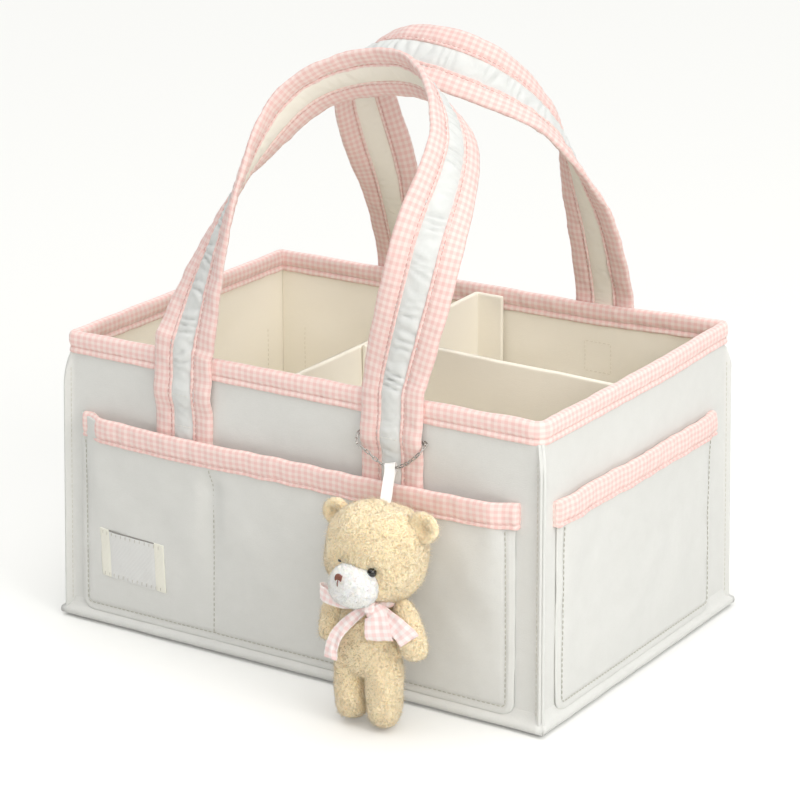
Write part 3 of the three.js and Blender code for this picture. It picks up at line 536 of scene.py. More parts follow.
def pocket_half_at(up, half):
    """Half the width of a pocket at a height, narrower where its lower corners are rounded."""
    below = np.clip(POCKET_FOOT + POCKET_CORNER - np.asarray(up, float), 0, POCKET_CORNER)
    return half - (POCKET_CORNER - np.sqrt(POCKET_CORNER ** 2 - below ** 2))


def sewn_groove(wall, along, up):
    """The dent that the sewing pulls into the face of a pocket, in mm."""
    edge, foot, corner = seam_frame(wall)
    dx = np.maximum(np.abs(along) - (edge - corner), 0)
    dy = np.maximum(foot + corner - up, 0)
    line = np.where((dx > 0) | (dy > 0), np.hypot(dx, dy) - corner, -99)
    dent = 0.7 * np.exp(-(line / 1.1) ** 2)
    for seam in POCKETS[wall][1]:
        dent = dent + 0.75 * np.exp(-((along - seam) / 1.3) ** 2)
    return dent


def seam_frame(wall):
    """A pocket's sewing: how far to the sides and how low it runs, and how its corners turn."""
    return POCKETS[wall][0] - EDGE_SEAM, POCKET_FOOT + EDGE_SEAM, POCKET_CORNER - EDGE_SEAM


def pocket_alongs(half):
    near = np.r_[0, 0.15, 0.4, 0.8, 1.4, 2.2, 3, 4, 5, 6, 7.5, 9.5]
    middle = np.linspace(-half + 12, half - 12, int((half - 12) / 1.35))
    return np.r_[-half + near, middle, half - near[::-1]]


def pocket_piece(wall):
    half = POCKETS[wall][0]
    ups = np.r_[POCKET_FOOT + np.r_[0, 0.2, 0.6, 1.2, 2, 3, 4, 5, 6, 7.2, 9, 11, 13.5, 16],
                np.linspace(26, 112, 44), 115, 118, 121, 124, 127, 130, POCKET_TOP]
    stops = edge_on(list(ups), POCKET_FELT, 1.0)
    up, depth = stops.T
    rings = []
    for along in pocket_alongs(half):
        share = along / half
        here = share * pocket_half_at(up, half)
        inward = half - abs(along)
        pressed = 0.6 + 0.4 * ease(inward, 0, 4)
        thin = pressed * rounded_off(inward, 1.0, 0.08)
        dent = sewn_groove(wall, here, up) * (depth > 0)
        grid = np.stack([here, up], -1)
        soft = 0.25 * drift(grid, 30, WALL_SEED[wall] + 20) * ease(up, 20, 60)
        out = pocket_off(wall, here, up) + POCKET_FELT / 2 * pressed + depth * thin - dent + soft
        rings.append(pocket_at(wall, here, out, up))
    return skin(f"{wall}_pocket_felt", rings)


def pocket_tape(wall):
    half = POCKETS[wall][0]
    top = POCKET_TOP + 1.1
    foot = POCKET_TOP - POCKET_TAPE
    outline = tape_outline(foot, top, POCKET_FELT / 2, POCKET_SEWN_ABOVE)
    offset, up = outline.T
    ends = np.r_[0, 0.25, 0.7, 1.4, 2.4, 3.6, 5]
    alongs = np.r_[-half - TAPE_PAST + ends, np.linspace(-half + 4, half - 4, int(half / 0.55)),
                   half + TAPE_PAST - ends[::-1]]
    rings = []
    hollow = np.abs(np.abs(offset) - POCKET_FELT / 2 - 0.2) < 0.01
    for along in alongs:
        inward = half + TAPE_PAST - abs(along)
        offset = outline[:, 0] * np.where(hollow & (inward < TAPE_PAST), 0.03, 1)
        close = rounded_off(inward, 1.3, 0.05)
        fold = 0.55 * math.exp(-((inward - 3) / 2.6) ** 2)
        grid = np.stack(spread(along, up + FACES_APART * (offset > 0)), -1)
        pull = stitch_pull(along, up - foot - POCKET_SEWN_ABOVE)
        puff = 0.24 * drift(grid, 12, WALL_SEED[wall] + 30) + 0.12 * drift(grid, 5, 61)
        face = np.sign(offset) * (np.abs(offset) > POCKET_FELT / 2 + 0.3)
        wave = 0.25 * drift(grid[:, :1], 24, WALL_SEED[wall] + 31)
        middle = pocket_off(wall, along, np.minimum(up, POCKET_TOP)) + POCKET_FELT / 2
        out = middle + (offset + face * (pull + puff + fold)) * close
        centre = (foot + top) / 2
        height = centre + (up - centre) * (0.93 + 0.07 * close) + wave
        rings.append(pocket_at(wall, along, out, height, felt=False))
    piece = skin(f"{wall}_pocket_tape", rings, across=run(outline))
    at = np.linspace(-half + 2, half - 2, 200)
    out = pocket_off(wall, at, foot + POCKET_SEWN_ABOVE) + POCKET_FELT + 0.55
    line = pocket_at(wall, at, out, foot + POCKET_SEWN_ABOVE, felt=False)
    return piece, sewing_line(line, OUTWARD[wall])


def pocket_sewing(wall):
    """The lines that hold a pocket to its wall: down, along and up its edge, and its seams."""
    edge, foot, corner = seam_frame(wall)
    top = POCKET_TOP - POCKET_TAPE - 1
    turns = np.linspace(0, math.pi / 2, 12)[1:]
    path = [(-edge, up) for up in np.linspace(top, foot + corner, 60)]
    path += [(-edge + corner * (1 - math.cos(t)), foot + corner * (1 - math.sin(t))) for t in turns]
    path += [(along, foot) for along in np.linspace(-edge + corner, edge - corner, 140)[1:]]
    path += [(edge - corner * (1 - math.sin(t)), foot + corner * (1 - math.cos(t))) for t in turns]
    path += [(edge, up) for up in np.linspace(foot + corner, top, 60)[1:]]
    paths = [path]
    paths += [[(seam, up) for up in np.linspace(foot, top, 60)] for seam in POCKETS[wall][1]]
    lines = []
    for path in paths:
        along, up = np.array(path).T
        out = pocket_off(wall, along, up) + POCKET_FELT - 0.6 * sewn_groove(wall, along, up) + 0.12
        lines.append(sewing_line(pocket_at(wall, along, out, up), OUTWARD[wall]))
    return lines


def inner_sewing():
    """Sewing that shows on the inner faces: the pockets' side seams and the strap ends' squares."""
    lines = []
    for wall, reach in (("front", 144), ("back", 144), ("left", 92.5), ("right", 92.5)):
        inward = -np.array(OUTWARD[wall], float)
        ups = np.linspace(16, 131, 90)
        for end in (-1, 1):
            line = on_wall(wall, end * reach, -FELT + 0.05, ups)
            lines.append(sewing_line(line, inward))
    for wall in ("front", "back"):
        inward = -np.array(OUTWARD[wall], float)
        for side in (-1, 1):
            middle = side * FOOT_SPACING / 2 - FOOT_SHIFT
            square = [(-9.2, 136.8), (9.2, 136.8), (9.2, 155.8), (-9.2, 155.8), (-9.2, 136.8)]
            for (a0, u0), (a1, u1) in zip(square, square[1:]):
                share = np.linspace(0, 1, 20)
                line = on_wall(wall, middle + a0 + (a1 - a0) * share, -FELT + 0.05,
                               u0 + (u1 - u0) * share)
                lines.append(sewing_line(line, inward, pitch=2.7))
    return lines


# Label: a plain woven strip, bare, with a folded selvedge at each side

LABEL_FROM = -LONG_POCKET + 8
LABEL_LENGTH = 48
LABEL_LOW = 30
LABEL_HIGH = 60
LABEL_THICK = 0.7
LABEL_FOLD = 7.4


def label_slip(along, up, out):
    """Where the label has slipped to: a little turned and leaning, as it was sewn by hand."""
    from_middle = along - LABEL_FROM - LABEL_LENGTH / 2
    from_centre = up - (LABEL_LOW + LABEL_HIGH) / 2
    return along + 1.7 - 0.055 * from_centre, out, up + 1 - 0.05 * from_middle


def label_piece():
    alongs = np.linspace(LABEL_FROM, LABEL_FROM + LABEL_LENGTH, 60)
    outline = edge_on(list(np.linspace(LABEL_LOW, LABEL_HIGH, 34)), LABEL_THICK, LABEL_THICK / 2)
    up, depth = outline.T
    rings = []
    for along in alongs:
        inward = min(along - LABEL_FROM, LABEL_FROM + LABEL_LENGTH - along)
        thin = 0.35 + 0.65 * min(1, inward / 0.5)
        grid = np.stack(spread(along, up), -1)
        fold = 0.35 * math.exp(-((inward - LABEL_FOLD) / 0.7) ** 2)
        lift = 0.18 * drift(grid, 14, 71) + 0.35
        out = pocket_off("front", along, up) + POCKET_FELT + lift + depth * thin - fold * (depth > 0)
        rings.append(on_wall("front", *label_slip(along, up, out)))
    piece = skin("label_cloth", rings, along=alongs - LABEL_FROM, across=up - LABEL_LOW)
    lines = []
    for height in (LABEL_LOW + 1.8, LABEL_HIGH - 2.2):
        at = np.linspace(LABEL_FROM + 1.5, LABEL_FROM + LABEL_LENGTH - 1.5, 40)
        out = pocket_off("front", at, height) + POCKET_FELT + 0.72
        for spot, rise in zip(at[1::3], out[1::3]):
            tick = on_wall("front", *label_slip(spot + np.array([0, 0.25]), height
                                                + np.array([-1.3, 1.3]), rise))
            lines.append((tick.mean(0)[None], unit(tick[1:] - tick[:1]),
                          np.array([OUTWARD["front"]], float)))
    return piece, lines


# Straps. Each runs from one sewn-down foot over the arch to the other.

ARCHES = {
    "front": [(-1, 0, 0, 0), (-0.98, 0.06, 0.02, 0.01), (-0.7, 0.65, 0.4, 0.39),
              (-0.34, 0.935, 0.71, 0.67), (0.5, 1.03, 0.82, 0.78), (1.11, 0.88, 0.55, 0.54),
              (1.25, 0.53, 0.06, 0.19), (1.01, 0.06, 0.02, 0.01), (1, 0, 0, 0)],
    "back": [(-1, 0, 0, 0), (-1, 0.06, 0.02, 0.01), (-0.98, 0.43, 0.26, 0.11),
             (-0.84, 0.79, 0.6, 0.43), (-0.25, 1, 0.95, 0.76), (0.66, 0.98, 0.91, 0.53),
             (0.87, 0.39, 0.35, 0.09), (0.99, 0.06, 0.03, 0.01), (1, 0, 0, 0)],
}


def round_about(points, shares):
    """The four stations round each share of a line, and how far past the second of them it is."""
    seat = (len(points) - 1) * np.asarray(shares)
    i = np.minimum(np.floor(seat).astype(int), len(points) - 2)
    more = np.concatenate([2 * points[:1] - points[1:2], points, 2 * points[-1:] - points[-2:-1]])
    return [more[i + n] for n in range(4)] + [(seat - i)[:, None]]


def eased_between(p1, p2, t1, t2, w):
    """The smooth step from one station to the next that keeps the ways t1 and t2 at its ends."""
    square = -3 * p1 + 3 * p2 - 2 * t1 - t2
    cube = 2 * p1 - 2 * p2 + t1 + t2
    return p1 + t1 * w + square * w ** 2 + cube * w ** 3


def curve_through(points, shares):
    """A centripetal curve through points, open, at shares of its stations."""
    p0, p1, p2, p3, w = round_about(points, shares)

    def root(a, b):
        return np.maximum(((a - b) ** 2).sum(1) ** 0.25, 1e-4)[:, None]

    d0, d1, d2 = root(p0, p1), root(p1, p2), root(p2, p3)
    t1 = ((p1 - p0) / d0 - (p2 - p0) / (d0 + d1) + (p2 - p1) / d1) * d1
    t2 = ((p2 - p1) / d1 - (p3 - p1) / (d1 + d2) + (p3 - p2) / d2) * d1
    return eased_between(p1, p2, t1, t2, w)


def evenly(values, shares):
    """A plain smooth curve through numbers, at shares of its stations."""
    p0, p1, p2, p3, w = round_about(values[:, None], shares)
    return eased_between(p1, p2, (p2 - p0) / 2, (p3 - p1) / 2, w)[:, 0]


def foot_off(up):
    """How far the back of a sewn-down strap end stands off the wall."""
    room = 1.9 + 4 * GAP
    lift = ease(up, 147, CHAIN_UP - 1.9)
    settle = ease(up, CHAIN_UP + 1.9, RIM_TAPE_FOOT)
    return (0.4 * (1 - lift) + room * lift) * (1 - settle) + (TAPE_OUT + GAP) * settle


def strap_frames(wall, step=1.15):
    """Middle, facing and across directions along a whole strap, and its length so far."""
    ups = np.arange(FOOT_LOW, HINGE_UP, step)
    feet = {}
    for side in (-1, 1):
        middle = side * FOOT_SPACING / 2 - FOOT_SHIFT
        feet[side] = on_wall("front", 0, foot_off(ups) + STRAP_THICK / 2, ups, still=True)
        feet[side][:, 0] = middle
    stations = np.array(ARCHES[wall], float)
    hinge = on_wall("front", 0, TAPE_OUT + GAP + STRAP_THICK / 2, HINGE_UP, still=True)
    points = np.c_[stations[:, 0] * FOOT_SPACING / 2 - FOOT_SHIFT,
                   hinge[1] + stations[:, 2] * ARCH_LEAN,
                   HINGE_UP + stations[:, 1] * ARCH_RISE]
    fine = np.linspace(0, 1, 900)
    drawn = curve_through(points, fine)
    gone = run(drawn)
    count = int(gone[-1] / step)
    shares = np.interp(np.linspace(0, gone[-1], count + 1), gone, fine)
    arch = curve_through(points, shares)
    turn = np.r_[np.zeros(len(ups)), evenly(stations[:, 3], shares), np.zeros(len(ups))]
    middle = np.vstack([feet[-1], arch, feet[1][::-1]])
    for _ in range(6):
        middle[1:-1] = (middle[:-2] + 2 * middle[1:-1] + middle[2:]) / 4
    if wall == "front":
        middle[:, 0] += 1.3 * ease(-middle[:, 2], -230, -185) * (middle[:, 0] < 0)
    way = unit(np.gradient(middle, axis=0))
    facing = unit(np.array([0, -1.0, 0]) + way * way[:, 1:2])
    side = np.cross(way, facing)
    angle = -math.pi * turn[:, None]
    facing = np.cos(angle) * facing + np.sin(angle) * side
    across = np.cross(way, facing)
    if wall == "back":
        flip = np.array([-1, -1, 1])
        middle, facing, across = middle * flip, facing * flip, across * flip
    return middle, facing, across, run(middle)


QUILT_SECTION = np.array(
    [(-18.6, 0.5), (-12, 0.9), (-6.6, 1.05), (-5.6, 1.5), (-4.2, 1.95), (-2.2, 2.2), (0, 2.3),
     (2.2, 2.2), (4.2, 1.95), (5.6, 1.5), (6.6, 1.05), (12, 0.9), (18.6, 0.5),
     (18.6, -0.5), (12, -0.9), (6.6, -1.05), (5.6, -1.45), (4.2, -1.8), (2.2, -2), (0, -2.1),
     (-2.2, -2), (-4.2, -1.8), (-5.6, -1.45), (-6.6, -1.05), (-12, -0.9), (-18.6, -0.5)])


def edge_tape_section():
    """A tape folded over the right edge of the strap: across and through, both faces."""
    face = [(6.55, 0.55), (6.6, 1.5), (7.1, 2.0), (7.8, 1.9), (8.35, 1.35), (8.6, 1.2),
            (8.85, 1.35), (9.7, 1.85), (11.4, 2.1),
            (13.6, 2.2), (16.0, 2.15), (18.0, 1.9), (19.4, 1.3), (20.1, 0.5)]
    return np.array(face + [(x, -d) for x, d in reversed(face)])


SEAM_ON_TAPE = 8.6

# How far across on the flat cloth the inner face of a strap is put, to tell it from the outer
LINING_SHIFT = 100


def strap_pieces(wall):
    middle, facing, across, gone = strap_frames(wall)
    free = ease(np.minimum(gone, gone[-1] - gone), 30, 70)
    made = {}

    def place(offsets, depths):
        return (middle[:, None] + across[:, None] * offsets[..., None]
                + facing[:, None] * depths[..., None])

    def laid_flat(section, side=1):
        offset, depth = section.T * np.array([[side], [1]])
        grid = np.stack(spread(gone[:, None], offset[None] + 60 * (depth[None] > 0)), -1)
        return offset, depth, grid

    offset, depth, grid = laid_flat(QUILT_SECTION)
    length_only = np.stack([gone, 0 * gone], -1)
    puffy = np.clip(1 - (np.abs(offset) / 6.9) ** 4, 0, 1)
    slant = 0.3 * drift(length_only, 60, 84)[:, None]
    phase = (grid[..., 0] + slant * offset[None]) / 6.4 + 0.5 * drift(grid * (1, 0.6), 19, 83)
    fold = np.abs(np.sin(math.pi * phase)) ** 0.6
    strong = (0.7 + 0.3 * drift(grid * (1, 0.5), 24, 85)) * (0.2 + 0.8 * free[:, None])
    pucker = strong * (2.7 * fold - 1.9) + 0.3 * drift(grid, 6, 82)
    pucker = pucker * np.where(depth > 0, 1, 0.35)[None]
    depths = depth[None] + np.sign(depth)[None] * puffy[None] * pucker
    made["quilt"] = skin(f"{wall}_strap_quilt", place(np.broadcast_to(offset, depths.shape), depths),
                         along=gone, across=offset + LINING_SHIFT * (depth < 0))
    lines = []
    for letter, side in (("a", -1), ("b", 1)):
        offset, depth, grid = laid_flat(edge_tape_section(), side)
        sewn_here = np.exp(-((np.abs(offset) - SEAM_ON_TAPE) / 1.6) ** 2)
        pull = 0.2 * np.cos(TAU * gone / STITCH_PITCH)[:, None] * sewn_here[None]
        puff = 0.3 * drift(grid, 14, 86 + side) + 0.16 * drift(grid, 6, 89 + side)
        depths = depth[None] + np.sign(depth)[None] * (pull + puff * (np.abs(depth) > 0.8))
        wave = 0.18 * drift(length_only, 26, 91 + side) + 0.1 * drift(length_only, 9, 95 + side)
        edge = offset[None] + side * wave[:, None] * ease(np.abs(offset), 14, 19)[None]
        made[letter] = skin(f"{wall}_strap_tape_{letter}", place(edge, depths),
                            along=gone, across=run(np.c_[offset, depth]))
        for face in (1, -1):
            sew = middle + across * side * SEAM_ON_TAPE + facing * face * 1.34
            keep = slice(3, -3)
            if face < 0:
                keep = np.nonzero(free > 0)[0]
            lines.append(sewing_line(sew[keep], (facing * face)[keep]))
    bars = []
    for start, stop in ((14, 31), (len(gone) - 32, len(gone) - 15)):
        for row in (start, stop):
            ends = np.linspace(-6.2, 6.2, 14)
            bar = middle[row] + across[row] * ends[:, None] + facing[row] * 2.2
            bars.append(sewing_line(bar, facing[row], pitch=2.9))
    made["bars"] = sewn(f"{wall}_strap_bars", *gather(bars))
    made["thread"] = sewn(f"{wall}_strap_stitches", *gather(lines))
    return made


# Dividers of the same felt, folded to a flap at their free ends

def folded_felt(name, corners, radius, low, high, seed, lift):
    """A standing strip of felt along a line with rounded folds. lift raises its top by place."""
    corners = [np.array(c, float) for c in corners]
    path = [corners[0]]
    for before, here, after in zip(corners, corners[1:], corners[2:]):
        a, b = unit(before - here), unit(after - here)
        for s in np.linspace(0, 1, 7):
            path.append(here + a * radius * (1 - s) ** 2 + b * radius * s ** 2)
    path.append(corners[-1])
    path = np.array(path)
    gone = run(path)
    stops = np.unique(np.r_[gone, np.arange(0, gone[-1], 4), gone[-1]])
    line = read_off(stops, gone, path)
    way = unit(np.gradient(line, axis=0))
    out = np.c_[way[:, 1], -way[:, 0]]
    rounded = edge_on(list(stops), FELT, 0.9)
    rings = []
    ups = np.r_[low, low + 0.5, low + 1.4, np.linspace(low + 8, high - 8, 30),
                high - 4, high - 2, high - 1.1, high - 0.5, high - 0.12, high]
    for up in ups:
        inward = min(up - low, high - up)
        thin = rounded_off(inward, 1.2, 0.12)
        at = read_off(rounded[:, 0], stops, line)
        away = read_off(rounded[:, 0], stops, out)
        grid = np.stack(spread(rounded[:, 0], up), -1)
        held = ease(np.minimum(rounded[:, 0], stops[-1] - rounded[:, 0]), 22, 50)
        bend = 0.9 * drift(grid, 90, seed) * held * ease(up, 10, 80)
        crest = 0.25 * drift(grid, 22, seed + 1) * (up > high - 3)
        depth = rounded[:, 1] * thin + bend
        rings.append(np.c_[at + away * depth[:, None], up + crest + lift(at) * (up - low) / high])
    return skin(name, rings)


# Chain

def chain_line():
    """The chain's round: straight behind the strap's right foot, hanging in a curve in front."""
    reach = STRAP_WIDTH / 2 + 1.5
    foot = FOOT_SPACING / 2 - FOOT_SHIFT
    room = 1.9 + 4 * GAP
    near, far = room / 2, room + STRAP_THICK + GAP + 0.95
    stops = [(-1, 0, 0), (-0.5, 0, 0), (0.5, 0, 0), (1, 0, 0), (1.035, 0.5, 0.1),
             (0.93, 1, 0.36), (0.55, 1, 0.8), (0.2, 1, 1), (-0.2, 1, 0.93), (-0.6, 1, 0.62),
             (-0.96, 1, 0.3), (-1.04, 0.5, 0.08)]
    aside, outward, down = np.array(stops).T
    points = on_wall("front", 0, near + (far - near) * outward, CHAIN_UP - 1.1 - 15.2 * down, still=True)
    points[:, 0] += foot + reach * aside
    wrapped = np.vstack([points[-3:], points, points[:4]])
    shares = np.linspace(0, 1, 3000)
    drawn = curve_through(wrapped, shares)
    seat = shares * (len(wrapped) - 1)
    keep = (seat >= 3) & (seat <= 3 + len(points))
    return drawn[keep]


def chain_piece():
    """Bent wire links, each turned a quarter turn to the last and hooked through it."""
    line = chain_line()
    gone = run(line)
    pitch, wire, wide = 3.0, 0.72, 1.1
    count = 2 * int(gone[-1] / pitch / 2)
    points, faces = [], []
    steps, around = 20, 8
    turns = np.arange(around) * TAU / around
    for n in range(count):
        at = (n + 0.5) * gone[-1] / count
        place = read_off(at, gone, line)
        way = unit(read_off(at + 0.8, gone, line) - read_off(at - 0.8, gone, line))
        upright = unit(np.array([0, 0, 1.0]) - way * way[2])
        level = np.cross(way, upright)
        tilt = math.pi / 4 + (n % 2) * math.pi / 2 + 0.25 * math.sin(n * 2.4)
        side = upright * math.cos(tilt) + level * math.sin(tilt)
        normal = np.cross(way, side)
        base = len(points)
        for s in range(steps):
            angle = TAU * (s + 0.5) / steps
            out = way * math.cos(angle) + side * math.sin(angle)
            straight = math.copysign(pitch / 2 + wire / 2 - wide + 0.33, math.cos(angle))
            middle = place + way * straight + out * (wide - wire / 2)
            for t in turns:
                points.append(middle + out * (math.cos(t) * wire / 2) + normal * (math.sin(t) * wire / 2))
        for s in range(steps):
            here, there = base + s * around, base + (s + 1) % steps * around
            for t in range(around):
                after = (t + 1) % around
                faces.append((here + t, here + after, there + after, there + t))
    return make_piece("steel_chain", points, faces)


# Bear

BEAR_X = 77.5
BEAR_Y = -150.5
HEAD_X = 3.2
HEAD_Y = 2
HEAD_UP = 102.6
HEAD = (59, 49, 55)
MUZZLE_UP = 90.8
MUZZLE_Y = -21.2
EYE_OUT = 10.8
EYE_UP = 100.6
BOW_ROUND = 0.55
BOW_UP = 78.5


def stuffed(size, place, bulge=0.5, square=2.0, tilt=0, rings=40, sides=60, lumps=0.0, seed=0):
    """Rings of a stuffed form: a rounded swell that is fattest where bulge says, laid a bit uneven."""
    swing = np.cos(math.pi * np.arange(rings + 1) / rings)
    share = (1 - swing) / 2
    moved = 2 * share ** (math.log(0.5) / math.log(bulge)) - 1
    girth = np.maximum(0.02, (1 - np.abs(moved) ** square) ** (1 / square))
    turns = np.arange(sides) * TAU / sides
    form = np.stack([
        np.cos(turns)[None] * girth[:, None] * size[0] / 2,
        np.sin(turns)[None] * girth[:, None] * size[1] / 2,
        np.broadcast_to(((share - 0.5) * size[2])[:, None], (rings + 1, sides))], -1)
    if lumps:
        swell = 1 + lumps * drift(form, 17, seed) / np.linalg.norm(form, axis=-1).clip(4)
        form = form * swell[..., None]
    cos, sin = math.cos(tilt), math.sin(tilt)
    turned = form.copy()
    turned[..., 0] = form[..., 0] * cos + form[..., 2] * sin
    turned[..., 2] = -form[..., 0] * sin + form[..., 2] * cos
    return turned + np.array([BEAR_X + place[0], BEAR_Y + place[1], place[2]])


def crests(points, size, seed):
    """Worm-like ridges, the way curly pile lies: how high the given points stand, about 0 to 1."""
    broad = 1 - np.abs(drift(points, size, seed)) * 1.5
    return 0.6 * broad + 0.4 * (1 - np.abs(drift(points, size * 0.55, seed + 1)) * 1.5)


MERGE_CELL = 0.45


def curly_skin(name, forms, size, rise, seed, eased=14):
    """Stuffed forms sewn into one knitted skin: merged, eased where they meet, and curled."""
    whole = joined_piece(name, [skin(f"{name}_part", rings) for rings in forms])
    merge = whole.modifiers.new("merge", "REMESH")
    merge.mode = "VOXEL"
    merge.voxel_size = MERGE_CELL * MM
    merge.use_smooth_shade = True
    settle = whole.modifiers.new("settle", "SMOOTH")
    settle.factor = 0.5
    settle.iterations = eased
    bpy.context.view_layer.update()
    mesh = bpy.data.meshes.new_from_object(
        whole.evaluated_get(bpy.context.evaluated_depsgraph_get()))
    whole.modifiers.clear()
    whole.data = mesh
    mesh.name = name
    count = len(mesh.vertices)
    points, outs = np.empty(count * 3), np.empty(count * 3)
    mesh.vertices.foreach_get("co", points)
    mesh.vertex_normals.foreach_get("vector", outs)
    points, outs = points.reshape(-1, 3) / MM, outs.reshape(-1, 3)
    points = points + outs * (rise * crests(points, size, seed))[:, None]
    mesh.vertices.foreach_set("co", (points * MM).ravel())
    mesh.update()
    return whole


TUFT_THICK = 0.2


def pile(name, rings, density, length, seed, curl, lay=(0, 0, -0.35), stations=5, bare=(),
         sunk=0.2):
    """Short pile all over a form: each tuft is a thin tapered thread that rises and curls over.
    density counts tufts on a square mm. bare lists places, each with the distance round it, that
    are left without tufts, and sunk is how deep a tuft is rooted."""
    dice = np.random.default_rng(seed)
    a, b = rings[:-1], rings[1:]
    c, d = np.roll(a, -1, 1), np.roll(b, -1, 1)
    normal = np.cross(b - a, c - a) + np.cross(d - c, d - b)
    area = (np.linalg.norm(np.cross(b - a, c - a), axis=-1)
            + np.linalg.norm(np.cross(b - d, c - d), axis=-1)) / 2
    centre = rings.reshape(-1, 3).mean(0)
    middle = (a + b + c + d) / 4
    if np.sum((middle - centre) * normal) < 0:
        normal = -normal
    count = int(area.sum() * density)
    cell = dice.choice(area.size, count, p=(area / area.sum()).ravel())
    i, j = np.unravel_index(cell, area.shape)
    u, v = dice.random((2, count, 1))
    place = (a[i, j] * (1 - u) + b[i, j] * u) * (1 - v) + (c[i, j] * (1 - u) + d[i, j] * u) * v
    out = unit(normal[i, j])
    for spot, room in bare:
        free = np.linalg.norm(place - spot, axis=1) > room
        place, out = place[free], out[free]
    count = len(place)
    loose = unit(dice.normal(size=(count, 3)) + np.array(lay))
    side = unit(loose - out * np.sum(loose * out, 1, keepdims=True))
    other = np.cross(out, side)
    stray = dice.random((count, 1)) < 0.14
    reach = length * (0.7 + 0.6 * dice.random((count, 1))) * np.where(stray, 1.15, 1)
    spin = curl * (0.7 + 0.9 * dice.random((count, 1))) * TAU * np.where(stray, 0.2, 0.55)
    radius = reach / np.maximum(spin, 0.5)
    hand = np.where(dice.random((count, 1)) < 0.5, -1, 1)
    rings_out = []
    width = TUFT_THICK * (0.75 + 0.5 * dice.random((count, 1)))
    tris = np.arange(3) * TAU / 3
    for n in range(stations):
        s = n / (stations - 1)
        angle = spin * s
        spot = (place - out * sunk + out * (radius * np.sin(angle) * 0.75 + reach * 0.42 * s)
                + side * radius * (1 - np.cos(angle)) + other * hand * reach * 0.22 * np.sin(3 * s))
        taper = 1 - 0.8 * s ** 2.2
        ring = (spot[:, None]
                + (other[:, None] * np.cos(tris)[:, None]
                   + (out + side)[:, None] * 0.7 * np.sin(tris)[:, None]) * (width * taper)[:, None] / 2)
        rings_out.append(ring)
    rings_out = np.stack(rings_out, 1)
    shape = (count, stations - 1, 3)
    low = np.broadcast_to(np.arange(stations - 1)[:, None] / (stations - 1), shape)
    high = low + 1 / (stations - 1)
    shade = np.broadcast_to(dice.random((count, 1, 1)), shape)
    cloth = np.stack([np.stack([shade, up], -1) for up in (low, low, high, high)], 3)
    tone = np.repeat(shade[:, 0, 0], 3)
    caps = np.c_[tone, np.ones(count * 3)]
    feet = np.c_[tone, np.zeros(count * 3)]
    return make_piece(name, rings_out.reshape(-1, 3), tube_faces(count, stations, 3),
                      np.concatenate([cloth.reshape(-1, 2), caps, feet]))


def ribbon(name, places, widths, facing, thick, waves=0.0, seed=0):
    """A strip of ribbon along a path, with its own width and facing at each place."""
    places = np.asarray(places, float)
    gone = run(places)
    fine = np.linspace(0, gone[-1], max(int(gone[-1] / 0.5), 12))
    shares = np.interp(fine, gone, np.linspace(0, 1, len(places)))
    line = curve_through(places, shares)
    half = np.interp(fine, gone, widths) / 2
    turned = read_off(fine, gone, facing)
    way = unit(np.gradient(line, axis=0))
    turned = unit(turned - way * np.sum(turned * way, 1, keepdims=True))
    across = np.cross(way, turned)
    section = edge_on(list(np.linspace(-1, 1, 17)), thick, thick / 12)
    offset, depth = section.T
    grid = np.stack(np.broadcast_arrays(fine[:, None], 8 * offset[None]), -1)
    rumple = waves * drift(grid, 9, seed)
    rings = (line[:, None] + across[:, None] * (offset[None] * half[:, None])[..., None]
             + turned[:, None] * (depth[None] + rumple)[..., None])
    return skin(name, rings, along=fine, across=offset * max(widths) / 2)


